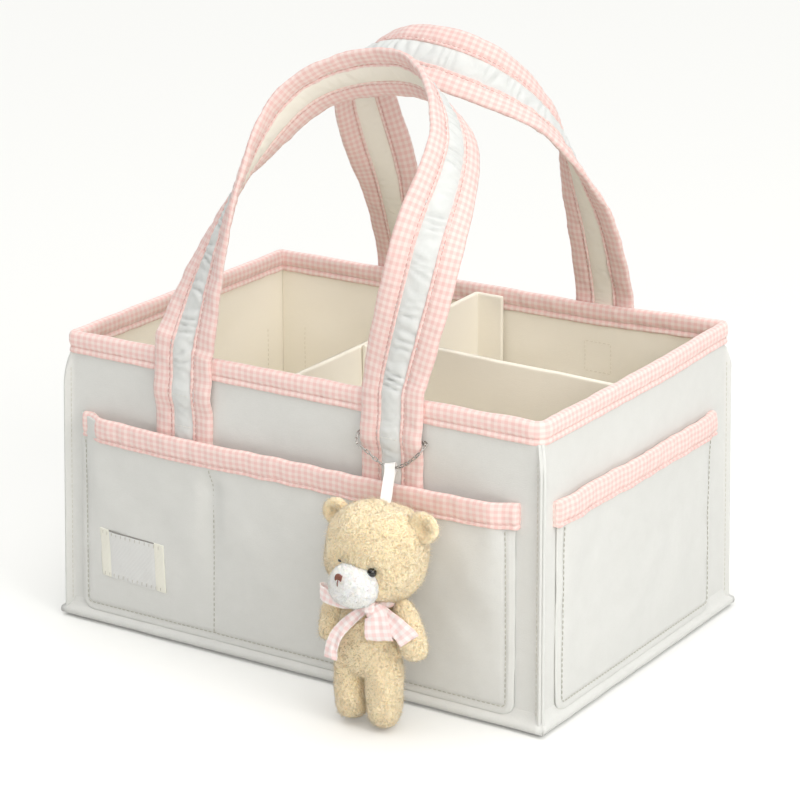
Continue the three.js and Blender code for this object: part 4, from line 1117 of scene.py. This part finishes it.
def bow_pieces():
    """The bow: a pinched knot, two folded loops and two tails, of one gingham ribbon."""
    knot = np.array([BEAR_X + 19.5 * math.sin(BOW_ROUND), BEAR_Y - 19.5 * math.cos(BOW_ROUND),
                     BOW_UP])
    made = {}
    for name, side, turn, loop_angle, tail_angle, loop_long, tail_long in (
            ("left", -1, 0.1, 0.02, -0.98, 29.5, 43), ("right", 1, 0.33, -1.46, -0.68, 19.5, 29.5)):
        level = np.array([math.cos(turn), math.sin(turn), 0])
        ahead = np.array([math.sin(turn), -math.cos(turn), 0])

        def at(angle, length, out=0.0, side=side, level=level, ahead=ahead):
            return (knot + level * (side * math.cos(angle) * length) + ahead * out
                    + np.array([0, 0, math.sin(angle) * length]))

        path, widths = [], []
        broad = 1 if side > 0 else 0.6
        for share, out, width in ((0.05, 0.4, 9.5), (0.22, 2.2, 12.5), (0.46, 3.2, 14),
                                  (0.72, 3.4, 14.8), (0.9, 2.6, 15), (1, 0.9, 15),
                                  (0.96, -0.9, 15), (0.72, -1.6, 14.4), (0.46, -1.5, 13),
                                  (0.22, -1.2, 10.5), (0.05, -0.5, 8)):
            rise = 0.2 * max(0, share - 0.45) * (side < 0)
            aside = 4.2 * min(1, 3 * share + 0.3) * (side > 0)
            path.append(at(loop_angle + rise, share * loop_long, out) + level * aside)
            widths.append(width * broad * (1 if side > 0 else 0.55 + 0.5 * share))
        facing = []
        for n in range(len(path)):
            bend = math.pi * np.clip((n - 3.5) / 3, 0, 1)
            ends = unit(at(loop_angle, 1) - knot)
            facing.append(ahead * math.cos(bend) + ends * math.sin(bend))
        loop = ribbon(f"bow_{name}_loop", path, widths, facing, 0.7, 0.3, 131 + side)
        path, widths = [], []
        for share, out, width in ((0.02, -1.4, 6), (0.15, -1.4, 9), (0.35, -0.2, 10.8),
                                  (0.6, 1.2, 11.6), (0.85, 1.0, 12.6), (1, 0.3, 13)):
            bend = 0.1 * math.sin(math.pi * share) + 0.24 * (1 - share) * (side < 0)
            path.append(at(tail_angle + bend, share * tail_long, out))
            widths.append(width * (1 if side > 0 else 0.62))
        tail = ribbon(f"bow_{name}_tail", path, widths, [ahead] * len(path), 0.7, 0.45, 141 + side)
        made[name] = [loop, tail]
    turns = np.linspace(-1, 1, 25)
    rings = []
    section = np.arange(20) * TAU / 20
    level = np.array([math.cos(BOW_ROUND), math.sin(BOW_ROUND), 0])
    ahead = np.array([math.sin(BOW_ROUND), -math.cos(BOW_ROUND), 0])
    for t in turns:
        swell = (1 - abs(t) ** 3.2) ** 0.5
        crease = 1 - 0.16 * np.cos(section * 5 + 0.7 * math.sin(3 * t))
        girth = np.maximum(0.05, swell) * crease
        rings.append(knot + level * (t * 3.4) + ahead * (np.cos(section) * girth * 3.4)[:, None]
                     + np.array([0, 0, 1]) * (np.sin(section) * girth * 4.3)[:, None])
    made["knot"] = [skin("bow_knot", rings, across=np.arange(20) * 1.2)]
    return made


def neck_ribbon():
    turns = np.linspace(0, TAU, 61)[:-1]
    section = np.array([(0.9, -2.8), (1.25, -1.5), (1.3, 0), (1.25, 1.5), (0.9, 2.8), (0.2, 2.9),
                        (0.1, 0), (0.2, -2.9)])
    rings = []
    for t in turns:
        way = np.array([math.cos(t), math.sin(t), 0])
        fold = 0.25 * math.sin(9 * t) + 0.2 * math.sin(23 * t)
        height = 78.4 + 0.8 * math.cos(t) + 0.5 * math.sin(2 * t)
        middle = np.array([BEAR_X, BEAR_Y, height]) + way * np.array([19.2, 16.0, 0])
        rings.append([middle + way * (o + fold) + np.array([0, 0, u]) for o, u in section])
    return skin("neck_ribbon", rings, joined=True, across=section[:, 1])


def hang_ribbon():
    """One satin ribbon that goes up from the head, round the chain and back."""
    line = chain_line()
    low = line[np.argmin(line[:, 2])]
    anchor = np.array([BEAR_X + HEAD_X + 0.9, BEAR_Y + HEAD_Y + 6.5, HEAD_UP + HEAD[2] / 2 - 3])
    rise = unit(low - anchor)
    length = np.linalg.norm(low - anchor)
    across = unit(np.array([1, 0, 0]) - rise * rise[0])
    through = np.cross(rise, across)
    loop, near, half = 2.3, 0.42, 3.1
    path, facing = [], []
    for up in np.linspace(0, length - 5, 9):
        path.append(anchor + rise * up + through * (near + 0.25 * math.sin(up / 4)))
        facing.append(through)
    for turn in np.linspace(-0.3, 1.3, 17) * math.pi:
        way = through * math.cos(turn) + rise * math.sin(turn)
        path.append(low + way * loop)
        facing.append(way)
    for up in np.linspace(length - 5, 0, 9):
        path.append(anchor + rise * up - through * (near - 0.2 * math.sin(up / 4)))
        facing.append(-through)
    path, facing = np.array(path), np.array(facing)
    section = edge_on(list(np.linspace(-half, half, 13)), 0.42, 0.2)
    rings = (path[:, None] + across * section[None, :, :1]
             + facing[:, None] * (section[None, :, 1:] + 0.25 * (section[None, :, :1] / half) ** 2))
    return skin("hang_ribbon", rings, across=section[:, 0])


def nose_piece():
    """The nose: satin stitches laid side by side over the top of the muzzle, and a short one down."""
    middle = BEAR_X + HEAD_X - 2.4
    front = BEAR_Y + MUZZLE_Y - 11
    places, ways, outs = [], [], []
    for x in np.linspace(-2.1, 2.1, 6):
        places.append((middle + 0.82 * x, front + 0.1 + 0.03 * x * x, MUZZLE_UP + 7.6 - 0.14 * x * x))
        ways.append((0.02 * x, 0.45, 1))
        outs.append((0.12 * x, -1, 0.45))
    cap = sewn("nose_cap", places, ways, outs, 3.6, 1.05)
    down = sewn("nose_line", [(middle, front - 0.8, MUZZLE_UP + 4.2)], [(0, 0.16, 1)], [(0, -1, 0.2)],
                3.6, 0.8)
    return joined_piece("nose", [cap, down])


# Materials

def add(tree, kind, feeds, **settings):
    """One shader node with its settings, and its inputs as values or as links from other nodes."""
    node = tree.nodes.new("ShaderNode" + kind)
    for key, value in settings.items():
        setattr(node, key, value)
    for key, value in feeds.items():
        if isinstance(value, bpy.types.Node):
            value = next(socket for socket in value.outputs if socket.enabled)
        if isinstance(value, bpy.types.NodeSocket):
            tree.links.new(value, node.inputs[key])
        else:
            node.inputs[key].default_value = value
    return node


def new_material(name):
    material = bpy.data.materials.new(name)
    material.use_nodes = True
    material.node_tree.nodes.clear()
    return material, material.node_tree


def surfaced(material, surface, height=None, depth=0.0):
    """The material with its surface's inputs, and a relief whose full height is depth mm."""
    tree = material.node_tree
    if height is not None:
        bump = add(tree, "Bump", {"Height": height, "Distance": depth * MM, "Strength": 1.0})
        surface["Normal"] = bump
    add(tree, "OutputMaterial", {"Surface": add(tree, "BsdfPrincipled", surface)})
    return material


def grain(tree, size, detail=2.0, rough=0.55, stretch=(1, 1, 1)):
    """Blotches about size mm wide, fixed to the piece at rest."""
    place = add(tree, "TexCoord", {}).outputs["Object"]
    scaled = add(tree, "VectorMath", {0: place, 1: stretch}, operation="MULTIPLY")
    return add(tree, "TexNoise", {"Vector": scaled, "Scale": 1 / (size * MM), "Detail": detail,
                                  "Roughness": rough})


def cloth_place(tree):
    """Where a point lies on the flat cloth, in mm, along and across."""
    split = add(tree, "SeparateXYZ", {0: add(tree, "UVMap", {}, uv_map="cloth")})
    return split.outputs[0], split.outputs[1]


def bands(tree, place, repeat, share=0.5, soft=0.06):
    """1 on a band and 0 beside it, with soft edges, every repeat mm."""
    count = add(tree, "Math", {0: place, 1: repeat}, operation="DIVIDE")
    turned = add(tree, "Math", {0: count}, operation="FRACT")
    centred = add(tree, "Math", {0: turned, 1: 0.5}, operation="SUBTRACT")
    away = add(tree, "Math", {0: centred}, operation="ABSOLUTE")
    return add(tree, "MapRange", {"Value": away, "From Min": share / 2 - soft,
                                  "From Max": share / 2 + soft, "To Min": 1.0, "To Max": 0.0},
               interpolation_type="SMOOTHSTEP")


def yarns(tree, place, spacing):
    """Rounded yarns side by side, one every spacing mm."""
    turned = add(tree, "Math", {0: place, 1: TAU / spacing}, operation="MULTIPLY")
    return add(tree, "Math", {0: turned}, operation="SINE")


def pressed_felt():
    # Needle-punched felt: short fibres matted flat with no weave. It scatters light evenly, its
    # face is dull and faintly clouded, and stray fibres catch light where it turns away. The
    # faces inside the tub are painted a brighter, warmer cream: painted light that stands for
    # the warm light bounced round inside the tub.
    material, tree = new_material("pressed_felt")
    cloud = grain(tree, 9, 3)
    fibre = grain(tree, 0.9, 3, 0.7, (1, 1, 1.6))
    faint = add(tree, "Math", {0: cloud, 1: 0.45}, operation="MULTIPLY")
    tone = add(tree, "Math", {0: fibre, 1: 0.55, 2: faint}, operation="MULTIPLY_ADD")
    outer = add(tree, "Mix", {0: tone, 6: hexed("#D7D7D3"), 7: hexed("#E5E5E2")}, data_type="RGBA")
    spot = add(tree, "SeparateXYZ", {0: add(tree, "TexCoord", {}).outputs["Object"]})
    lean = add(tree, "Math", {0: spot.outputs[2], 1: LEAN_IN / TUB_HEIGHT}, operation="MULTIPLY")
    # Painted light: faces inside the tub's walls are mixed towards a brighter, warmer cream for light
    # bounced inside it.
    painted_inside_light = 0.95
    for n, limit in ((0, TUB_LENGTH / 2), (1, TUB_WIDTH / 2)):
        far = add(tree, "Math", {0: spot.outputs[n]}, operation="ABSOLUTE")
        foot = add(tree, "Math", {0: far, 1: lean}, operation="ADD")
        within = add(tree, "Math", {0: foot, 1: (limit - FELT / 2) * MM}, operation="LESS_THAN")
        painted_inside_light = add(tree, "Math", {0: within, 1: painted_inside_light}, operation="MULTIPLY")
    colour = add(tree, "Mix", {0: painted_inside_light, 6: outer, 7: hexed("#FFF9EB")}, data_type="RGBA")
    clear = add(tree, "Math", {0: cloud, 1: 0.9}, operation="MULTIPLY")
    height = add(tree, "Math", {0: fibre, 1: 0.5, 2: clear}, operation="MULTIPLY_ADD")
    return surfaced(material, {"Base Color": colour, "Roughness": 0.94, "Sheen Weight": 0.25,
                               "Specular IOR Level": 0.2}, height, 0.28)


def gingham_cloth(name, repeat, dark, light, squashed=0.78):
    # Yarn-dyed cotton: pink and white yarns cross, so a check is full pink where both are pink,
    # half where one is, and white where none is. The yarns stand up as fine crossing ribs.
    material, tree = new_material(name)
    along, across = cloth_place(tree)
    both = add(tree, "Math", {0: bands(tree, along, repeat),
                              1: bands(tree, across, repeat * squashed)}, operation="ADD")
    pink = add(tree, "Math", {0: both, 1: 0.5, 2: -0.08}, operation="MULTIPLY_ADD")
    shade = add(tree, "Math", {0: grain(tree, 4, 2), 1: 0.16, 2: pink}, operation="MULTIPLY_ADD",
                use_clamp=True)
    colour = add(tree, "Mix", {0: shade, 6: hexed(light), 7: hexed(dark)}, data_type="RGBA")
    crossed = add(tree, "Math", {0: yarns(tree, along, 0.55), 1: yarns(tree, across, 0.55)},
                  operation="MULTIPLY")
    ribs = add(tree, "Math", {0: crossed, 1: 0.5, 2: 0.5}, operation="MULTIPLY_ADD")
    return surfaced(material, {"Base Color": colour, "Roughness": 0.9, "Sheen Weight": 0.15,
                               "Specular IOR Level": 0.25}, ribs, 0.07)


def quilted_cotton():
    # Bleached plain-weave cotton over wadding: nearly white, dull, with very fine ribs. The
    # lining on the inner side of the strap is a plain cream cotton.
    material, tree = new_material("quilted_cotton")
    cotton = add(tree, "Mix", {0: grain(tree, 7, 2), 6: hexed("#D6D8D6"), 7: hexed("#E4E5E3")},
                 data_type="RGBA")
    lining = add(tree, "Math", {0: cloth_place(tree)[1], 1: 0.6 * LINING_SHIFT},
                 operation="GREATER_THAN")
    colour = add(tree, "Mix", {0: lining, 6: cotton, 7: hexed("#F3EFE4")}, data_type="RGBA")
    return surfaced(material, {"Base Color": colour, "Roughness": 0.9, "Sheen Weight": 0.15,
                               "Specular IOR Level": 0.25}, grain(tree, 0.7, 2, 0.6), 0.12)


def label_cloth():
    # Woven polyester tape: close horizontal picks with a slight lustre that is painted in, each
    # pick lighter on its crown and darker between as painted highlight and shade; ivory
    # selvedges at the two ends, and a darker first pick along the top.
    material, tree = new_material("label_cloth")
    along, across = cloth_place(tree)
    picks = yarns(tree, across, 0.8)
    near = add(tree, "Math", {0: along, 1: LABEL_FOLD}, operation="LESS_THAN")
    far = add(tree, "Math", {0: along, 1: LABEL_LENGTH - 7.2}, operation="GREATER_THAN")
    side = add(tree, "Math", {0: near, 1: far}, operation="MAXIMUM")
    # Painted highlight and shade: each pick's crown is lighter and the hollow between it and the next
    # darker.
    pick_highlight = add(tree, "Math", {0: picks, 1: 0.5, 2: 0.5}, operation="MULTIPLY_ADD")
    body = add(tree, "Mix", {0: pick_highlight, 6: hexed("#DFDFDD"), 7: hexed("#E9E9E7")}, data_type="RGBA")
    colour = add(tree, "Mix", {0: side, 6: body, 7: hexed("#F2F0E4")}, data_type="RGBA")
    top = add(tree, "Math", {0: across, 1: LABEL_HIGH - LABEL_LOW - 0.8}, operation="GREATER_THAN")
    inside = add(tree, "Math", {0: 1.0, 1: side}, operation="SUBTRACT")
    first = add(tree, "Math", {0: top, 1: inside}, operation="MULTIPLY")
    dark = add(tree, "Math", {0: first, 1: 0.85}, operation="MULTIPLY")
    colour = add(tree, "Mix", {0: dark, 6: colour, 7: hexed("#7C7873")}, data_type="RGBA")
    return surfaced(material, {"Base Color": colour, "Roughness": 0.6, "Sheen Weight": 0.1,
                               "Specular IOR Level": 0.4}, picks, 0.05)


def sewing_thread(name, code):
    # Spun polyester thread: matte with a faint lustre on the crown of each stitch.
    material, _ = new_material(name)
    return surfaced(material, {"Base Color": hexed(code), "Roughness": 0.65, "Sheen Weight": 0.2,
                               "Specular IOR Level": 0.35})


def plated_steel():
    # Nickel-plated wire: a bright mirror metal, slightly warm, with a little wear.
    material, tree = new_material("plated_steel")
    rough = add(tree, "Math", {0: grain(tree, 1.2, 2), 1: 0.14, 2: 0.14}, operation="MULTIPLY_ADD")
    return surfaced(material, {"Base Color": hexed("#C6C4C0"), "Roughness": rough, "Metallic": 1.0})


def satin_ribbon():
    # Polyester satin: long floats lie side by side, so it is smooth and shines along its length.
    material, tree = new_material("satin_ribbon")
    return surfaced(material, {"Base Color": hexed("#F8F7F4"), "Roughness": 0.32,
                               "Sheen Weight": 0.1, "Specular IOR Level": 0.55,
                               "Anisotropic": 0.5}, yarns(tree, cloth_place(tree)[1], 0.6), 0.02)


def pile_finish(name, root, tip, pale):
    # Knitted pile: thin polyester threads. Light goes through and between them. Each tuft is
    # painted a little deeper in colour at its root and paler at its tip, a painted shade low in
    # the pile and painted light on the soft tips.
    material, tree = new_material(name)
    own_shade, height = cloth_place(tree)
    thread = add(tree, "Mix", {0: height, 6: hexed(root), 7: hexed(tip)}, data_type="RGBA")
    paler = add(tree, "Math", {0: own_shade, 1: 0.35}, operation="MULTIPLY")
    colour = add(tree, "Mix", {0: paler, 6: thread, 7: hexed(pale)}, data_type="RGBA")
    soft = add(tree, "MixShader", {0: 0.36, 1: add(tree, "BsdfDiffuse", {"Color": colour}),
                                   2: add(tree, "BsdfTranslucent", {"Color": colour})})
    add(tree, "OutputMaterial", {"Surface": soft})
    return material


def knitted_ground(name, low, high):
    # The knitted ground under the pile, seen only between the threads. Its loose yarn lets light
    # sink in and spread.
    material, tree = new_material(name)
    knots = grain(tree, 1.6, 3, 0.7)
    # The knots are painted paler and the hollows between them deeper in colour, a painted shade in the
    # hollows of the ground.
    colour = add(tree, "Mix", {0: knots, 6: hexed(low), 7: hexed(high)}, data_type="RGBA")
    return surfaced(material, {
        "Base Color": colour, "Roughness": 0.95, "Sheen Weight": 0.3, "Specular IOR Level": 0.15,
        "Subsurface Weight": 0.75, "Subsurface Radius": (1.0, 0.86, 0.7),
        "Subsurface Scale": 1.6 * MM}, knots, 0.6)


def nose_thread():
    # Embroidery floss: parallel shiny strands.
    material, _ = new_material("nose_thread")
    return surfaced(material, {"Base Color": hexed("#7E4A3A"), "Roughness": 0.5,
                               "Sheen Weight": 0.2, "Specular IOR Level": 0.45})


def eye_bead():
    # Moulded black bead with a clear gloss.
    material, _ = new_material("eye_bead")
    return surfaced(material, {"Base Color": hexed("#0B0A0A"), "Roughness": 0.12,
                               "Coat Weight": 0.6, "Coat Roughness": 0.04})


def touch_close_tape(name, size):
    # Touch-close tape: a woven ground with a short nap or rows of tiny hooks, satin dull.
    material, tree = new_material(name)
    nap = grain(tree, size, 2, 0.7)
    colour = add(tree, "Mix", {0: nap, 6: hexed("#DEDBD2"), 7: hexed("#F1EFE9")}, data_type="RGBA")
    return surfaced(material, {"Base Color": colour, "Roughness": 0.8, "Sheen Weight": 0.2,
                               "Specular IOR Level": 0.3}, nap, 0.35)


def pale_floor():
    # A seamless pale sweep: the camera sees it a little brighter, and shadows stay on it.
    material, tree = new_material("pale_floor")
    matte = add(tree, "BsdfDiffuse", {"Color": hexed("#E8E8E6")})
    glow = add(tree, "Emission", {"Color": hexed("#FFFFFC"), "Strength": 0.13})
    both = add(tree, "AddShader", {0: matte, 1: glow})
    seen = add(tree, "LightPath", {}).outputs["Is Camera Ray"]
    add(tree, "OutputMaterial", {"Surface": add(tree, "MixShader", {0: seen, 1: matte, 2: both})})
    return material


# Putting it together

FELT_FINISH = pressed_felt()
TAPE_FINISH = gingham_cloth("pink_gingham", 4.35, "#F4CCC6", "#FBE6E0")
# The strap tape is the same pink gingham painted a little darker, a painted shade for the straps' lower
# ends lying in shadow.
SHADED_STRAP_TAPE_FINISH = gingham_cloth("strap_gingham_painted_shade", 4.35, "#EDC6C0", "#F5E0DA")
BOW_FINISH = gingham_cloth("bow_gingham", 4.5, "#F9DAD7", "#FEF6F4", 1.0)
QUILT_FINISH = quilted_cotton()
LABEL_FINISH = label_cloth()
# The felt thread is painted darker than its own colour, a painted shade for the stitches sunk into the
# felt.
THREADS = {use: sewing_thread(f"{use}_thread", code) for use, code in (
    ("felt", "#BAB7AC"), ("corner", "#CBC8BD"), ("inner", "#E6DECD"), ("label", "#C2BDB5"),
    ("tape", "#F1D0CB"), ("strap", "#DCA8A2"), ("quilt", "#E2E0DA"))}
STEEL_FINISH = plated_steel()
SATIN_FINISH = satin_ribbon()
PLUSH_FINISH = pile_finish("curly_plush", "#FFEED0", "#FFF8E5", "#FFFEF8")
PLUSH_GROUND = knitted_ground("plush_ground", "#FADFB6", "#FCEACC")
MUZZLE_FINISH = pile_finish("white_plush", "#F6F4EE", "#FEFEFC", "#FFFFFF")
MUZZLE_GROUND = knitted_ground("muzzle_ground", "#F9F7F2", "#FFFEFC")
NOSE_FINISH = nose_thread()
EYE_FINISH = eye_bead()
HOOK_FINISH = touch_close_tape("hook_tape", 0.9)
LOOP_FINISH = touch_close_tape("loop_tape", 0.5)


def fit(piece, finish, body, stands_for=()):
    """A piece with its material, its body and the nodes that it stands for."""
    piece.data.materials.clear()
    piece.data.materials.append(finish)
    if body:
        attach(piece, body)
    if stands_for:
        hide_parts(*stands_for)
    return piece


def build_tub():
    fit(bottom_sheet(), FELT_FINISH, "tub", ["bottom_panel"])
    seams, corners = [], []
    for wall, half in HALF.items():
        piece = joined_piece(f"{wall}_wall_felt", [wall_sheet(wall), bottom_lip(wall)])
        fit(piece, FELT_FINISH, "tub", [f"{wall}_panel"])
        ups = np.linspace(10, 158, 60)
        for end in (-1, 1):
            line = on_wall(wall, end * (half - CORNER_FELT), 0.95, ups)
            corners.append(sewing_line(line, OUTWARD[wall], start=0.6))
        fit(pocket_piece(wall), FELT_FINISH, "tub", [f"{wall}_pocket"])
        seams += pocket_sewing(wall)
        tape, line = pocket_tape(wall)
        fit(tape, TAPE_FINISH, "tub", [f"{wall}_pocket_binding"])
        fit(sewn(f"{wall}_tape_stitches", *line), THREADS["tape"], "tub")
    label, ticks = label_piece()
    fit(label, LABEL_FINISH, "tub", ["label"])
    fit(sewn("label_stitches", *gather(ticks)), THREADS["label"], "tub")
    fit(sewn("felt_stitches", *gather(seams), thick=0.6), THREADS["felt"], "tub")
    fit(sewn("corner_stitches", *gather(corners)), THREADS["corner"], "tub")
    fit(sewn("inner_stitches", *gather(inner_sewing())), THREADS["inner"], "tub")
    rim, thread = rim_tape()
    fit(rim, TAPE_FINISH, "tub", ["rim_binding"])
    fit(thread, THREADS["tape"], "tub")


def build_handle(wall):
    feet = [f"{wall}_handle_{side}_foot" for side in ("left", "right")]
    made = strap_pieces(wall)
    stands_for = {"quilt": [f"{wall}_handle_strap", *feet], "thread": [], "bars": []}
    for letter in "ab":
        stands_for[letter] = [f"{wall}_handle_edge_tape_{letter}",
                              *(f"{foot}_edge_tape_{letter}" for foot in feet)]
    finishes = {"quilt": (QUILT_FINISH, "quilted_cotton"), "thread": (THREADS["strap"], None),
                "bars": (THREADS["quilt"], None), "a": (SHADED_STRAP_TAPE_FINISH, "pink_gingham_tape"),
                "b": (SHADED_STRAP_TAPE_FINISH, "pink_gingham_tape")}
    for key, piece in made.items():
        finish, slot = finishes[key]
        fit(piece, finish, None, stands_for[key])
        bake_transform(piece)


def build_dividers():
    # The two strips stand apart by the clearance that lets each be lifted out.
    cross = folded_felt("cross_divider_felt",
                        [(5.5, -102.6), (-16, -102.6), (-8.6, 103.6), (10.3, 103.6)],
                        2.2, WALL_FOOT, DIVIDER_TOP, 151, lambda at: 5 * (at[:, 1] + 102.6) / 206)
    fit(cross, FELT_FINISH, "dividers", ["cross_divider"])
    long = folded_felt("long_divider_felt",
                       [(-9.6, -23.5), (-8.7, -2), (154.6, -2), (154.6, 19.5)],
                       3.2, WALL_FOOT, DIVIDER_TOP, 157, lambda at: 2.8 * (155 - at[:, 0]) / 165)
    fit(long, FELT_FINISH, "dividers", ["long_divider"])
    for name, finish, body in (("pile", LOOP_FINISH, "tub"), ("hook", HOOK_FINISH, "dividers")):
        for wall in ("front", "back", "right"):
            low, high = (np.array(c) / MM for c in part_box(f"{name}_patch_{wall}"))
            fit(patch_piece(f"{name}_patch_{wall}", low, high, wall), finish, body,
                [f"{name}_patch_{wall}"])


def patch_piece(name, low, high, wall):
    """A thin patch of tape with rounded corners, filling the given box."""
    thin = 0 if wall == "right" else 1
    wide = 1 - thin
    middle, half = (low + high) / 2, (high - low) / 2
    corner = 1.6
    outline = []
    for sx, sz, start in ((1, 1, 0), (-1, 1, 1), (-1, -1, 2), (1, -1, 3)):
        for n in range(6):
            t = (start + n / 5) * math.pi / 2
            outline.append((sx * (half[wide] - corner) + corner * math.cos(t),
                            sz * (half[2] - corner) + corner * math.sin(t)))
    rings = []
    for depth, inset in ((-1, 0.25), (-0.6, 0), (0.6, 0), (1, 0.25), (1, 1.2)):
        ring = np.zeros((len(outline), 3))
        for n, (w, z) in enumerate(outline):
            ring[n, wide] = middle[wide] + w * (1 - inset / half[wide])
            ring[n, thin] = middle[thin] + depth * half[thin]
            ring[n, 2] = middle[2] + z * (1 - inset / half[2])
        rings.append(ring)
    return skin(name, rings)


def plush(name, forms, stands_for, seed, bare=(), eased=14):
    ground = curly_skin(f"{name}_form", forms, 2.3, 0.42, seed, eased)
    fit(ground, PLUSH_GROUND, "bear", stands_for)
    for n, rings in enumerate(forms):
        curls = pile(f"{name}_pile_{n}", rings, 1.1, 2.4, seed + 7 * n, 1.3, bare=bare)
        fit(curls, PLUSH_FINISH, "bear")


def build_bear():
    middle = np.array([BEAR_X + HEAD_X, BEAR_Y + HEAD_Y, 0])
    eyes = [middle + np.array([side * EYE_OUT, -HEAD[1] / 2 + 3.6, EYE_UP - 1.1 * side])
            for side in (-1, 1)]
    head = stuffed(HEAD, (HEAD_X, HEAD_Y, HEAD_UP), 0.51, 2.4, lumps=0.8, seed=201,
                   rings=150, sides=260)
    for eye in eyes:
        near = np.hypot(head[..., 0] - eye[0], head[..., 2] - eye[2])
        head[..., 1] += 3.4 * np.exp(-(near / 4.6) ** 2) * (head[..., 1] < middle[1])
    bare = [(eye, 3.3) for eye in eyes]
    plush("head", [head], ["bear_head"], 301, bare=bare)
    body = stuffed((38.5, 28.5, 50), (0, 0, 55), 0.4, 2.3, lumps=0.7, seed=203, rings=110, sides=160)
    legs = []
    for name, side in (("left", -1), ("right", 1)):
        leg = stuffed((19.8, 22.5, 54), (side * 10.4, -1.6, 30.2 - 0.4 * side), 0.38, 2.6, lumps=0.5,
                      seed=205 + side, rings=90, sides=100)
        legs.append(leg)
        arm = stuffed((15.8, 15.4, 35), (side * 24.1 + 2.4, -1.5, 63), 0.4, 2.4, -side * 0.29,
                      lumps=0.5, seed=209 + side, rings=80, sides=84)
        plush(f"{name}_arm", [arm], [f"bear_{name}_arm"], 309 + side)
        cup = (HEAD_X + 0.8 + side * 28.4, HEAD_Y + 1.5, 120.9 + 1.0 * side)
        ear = stuffed((17.8 + side, 10, 17.6 + side), cup, rings=60, sides=84, lumps=0.3, seed=213 + side)
        far = np.hypot(ear[..., 0] - BEAR_X - cup[0], ear[..., 2] - cup[2])
        ear[..., 1] += 5.6 * np.exp(-(far / 5) ** 2) * (ear[..., 1] < BEAR_Y + cup[1])
        plush(f"{name}_ear", [ear], [f"bear_{name}_ear"], 313 + side)
        eye = eyes[(side + 1) // 2]
        bead = stuffed((5.4, 5.4, 5.4), (eye[0] - BEAR_X, eye[1] - BEAR_Y + 1.3 - 1.8 * side, eye[2]),
                       rings=16, sides=24)
        fit(skin(f"{name}_eye_bead", bead), EYE_FINISH, "bear",
            [f"bear_{name}_eye"])
    plush("body", [body, *legs], ["bear_body", "bear_left_leg", "bear_right_leg"], 303, eased=55)
    muzzle = stuffed((29.8, 21, 24.6), (HEAD_X - 0.2, MUZZLE_Y, MUZZLE_UP - 0.5), 0.48, 2.1,
                     rings=90, sides=130, lumps=0.25, seed=217)
    form = fit(curly_skin("muzzle_form", [muzzle], 2.2, 0.18, 218), MUZZLE_GROUND, "bear",
               ["bear_muzzle"])
    tufts = pile("muzzle_pile", muzzle, 2.6, 1.1, 319, 0.4, lay=(0, 0, -0.5), stations=3, sunk=0.4)
    fit(tufts, MUZZLE_FINISH, "bear")
    fit(nose_piece(), NOSE_FINISH, "bear", ["bear_nose"])
    fit(neck_ribbon(), BOW_FINISH, "bear", ["bear_neck_ribbon"])
    bow = bow_pieces()
    fit(bow["knot"][0], BOW_FINISH, "bear", ["bear_bow_knot"])
    for name in ("left", "right"):
        fit(joined_piece(f"bow_{name}", bow[name]), BOW_FINISH, "bear",
            [f"bear_bow_{name}"])
    fit(hang_ribbon(), SATIN_FINISH, "bear", ["bear_hang_loop"])


build_tub()
build_handle("front")
build_handle("back")
build_dividers()
fit(chain_piece(), STEEL_FINISH, "charm_chain", ["charm_chain"])
build_bear()

# Stage: a pale floor, a pale surround that is brightest overhead, and two broad soft lights

FLOOR_REACH = 40
FLOOR_DROP = 0.0004
KEY_POWER = 11.2
FILL_POWER = 6.1
SKY_OVERHEAD = 2.65
SKY_AROUND = 0.13
EYE_TURN = math.radians(32.669)
EYE_LIFT = math.radians(18.092)
EYE_PLACE = (0.91156, -1.42058, 0.68632)
LENS_LENGTH = 133.43

floor_mesh = bpy.data.meshes.new("floor")
floor_mesh.from_pydata([(x * FLOOR_REACH, y * FLOOR_REACH, -FLOOR_DROP)
                        for x, y in ((-1, -1), (1, -1), (1, 1), (-1, 1))], [], [(0, 1, 2, 3)])
floor = bpy.data.objects.new("floor", floor_mesh)
bpy.context.scene.collection.objects.link(floor)
floor_mesh.materials.append(pale_floor())

world = bpy.data.worlds.new("studio")
bpy.context.scene.world = world
world.use_nodes = True
world.node_tree.nodes.clear()
tree = world.node_tree
way = add(tree, "TexCoord", {}).outputs["Generated"]
lift = add(tree, "SeparateXYZ", {0: way}).outputs[2]
above = add(tree, "Math", {0: lift, 1: 4.0}, operation="POWER")
strength = add(tree, "Math", {0: above, 1: SKY_OVERHEAD, 2: SKY_AROUND},
               operation="MULTIPLY_ADD")
sky = add(tree, "Background", {"Color": hexed("#FDFDFC"), "Strength": strength})
add(tree, "OutputWorld", {"Surface": sky})


def soft_light(name, place, aim, power, code):
    lamp = bpy.data.lights.new(name, "AREA")
    lamp.shape = "DISK"
    lamp.size = 1.0
    lamp.energy = power
    lamp.color = hexed(code)[:3]
    light = bpy.data.objects.new(name, lamp)
    light.location = place
    light.rotation_euler = (Vector(aim) - Vector(place)).to_track_quat("-Z", "Y").to_euler()
    bpy.context.scene.collection.objects.link(light)


soft_light("key", (1.5, -0.5, 0.95), (0.1, 0, 0.1), KEY_POWER, "#FFFEFB")
soft_light("fill", (0.95, -1.4, 0.85), (0, 0, 0.1), FILL_POWER, "#FFFDF8")

back = Vector((math.sin(EYE_TURN) * math.cos(EYE_LIFT), -math.cos(EYE_TURN) * math.cos(EYE_LIFT),
               math.sin(EYE_LIFT)))
lens = bpy.data.cameras.new("camera")
lens.lens = LENS_LENGTH
lens.sensor_width = 36
lens.clip_end = 200
camera = bpy.data.objects.new("camera", lens)
camera.location = EYE_PLACE
camera.rotation_euler = (-back).to_track_quat("-Z", "Y").to_euler()
bpy.context.scene.collection.objects.link(camera)
bpy.context.scene.camera = camera
bpy.context.scene.view_settings.view_transform = "Standard"
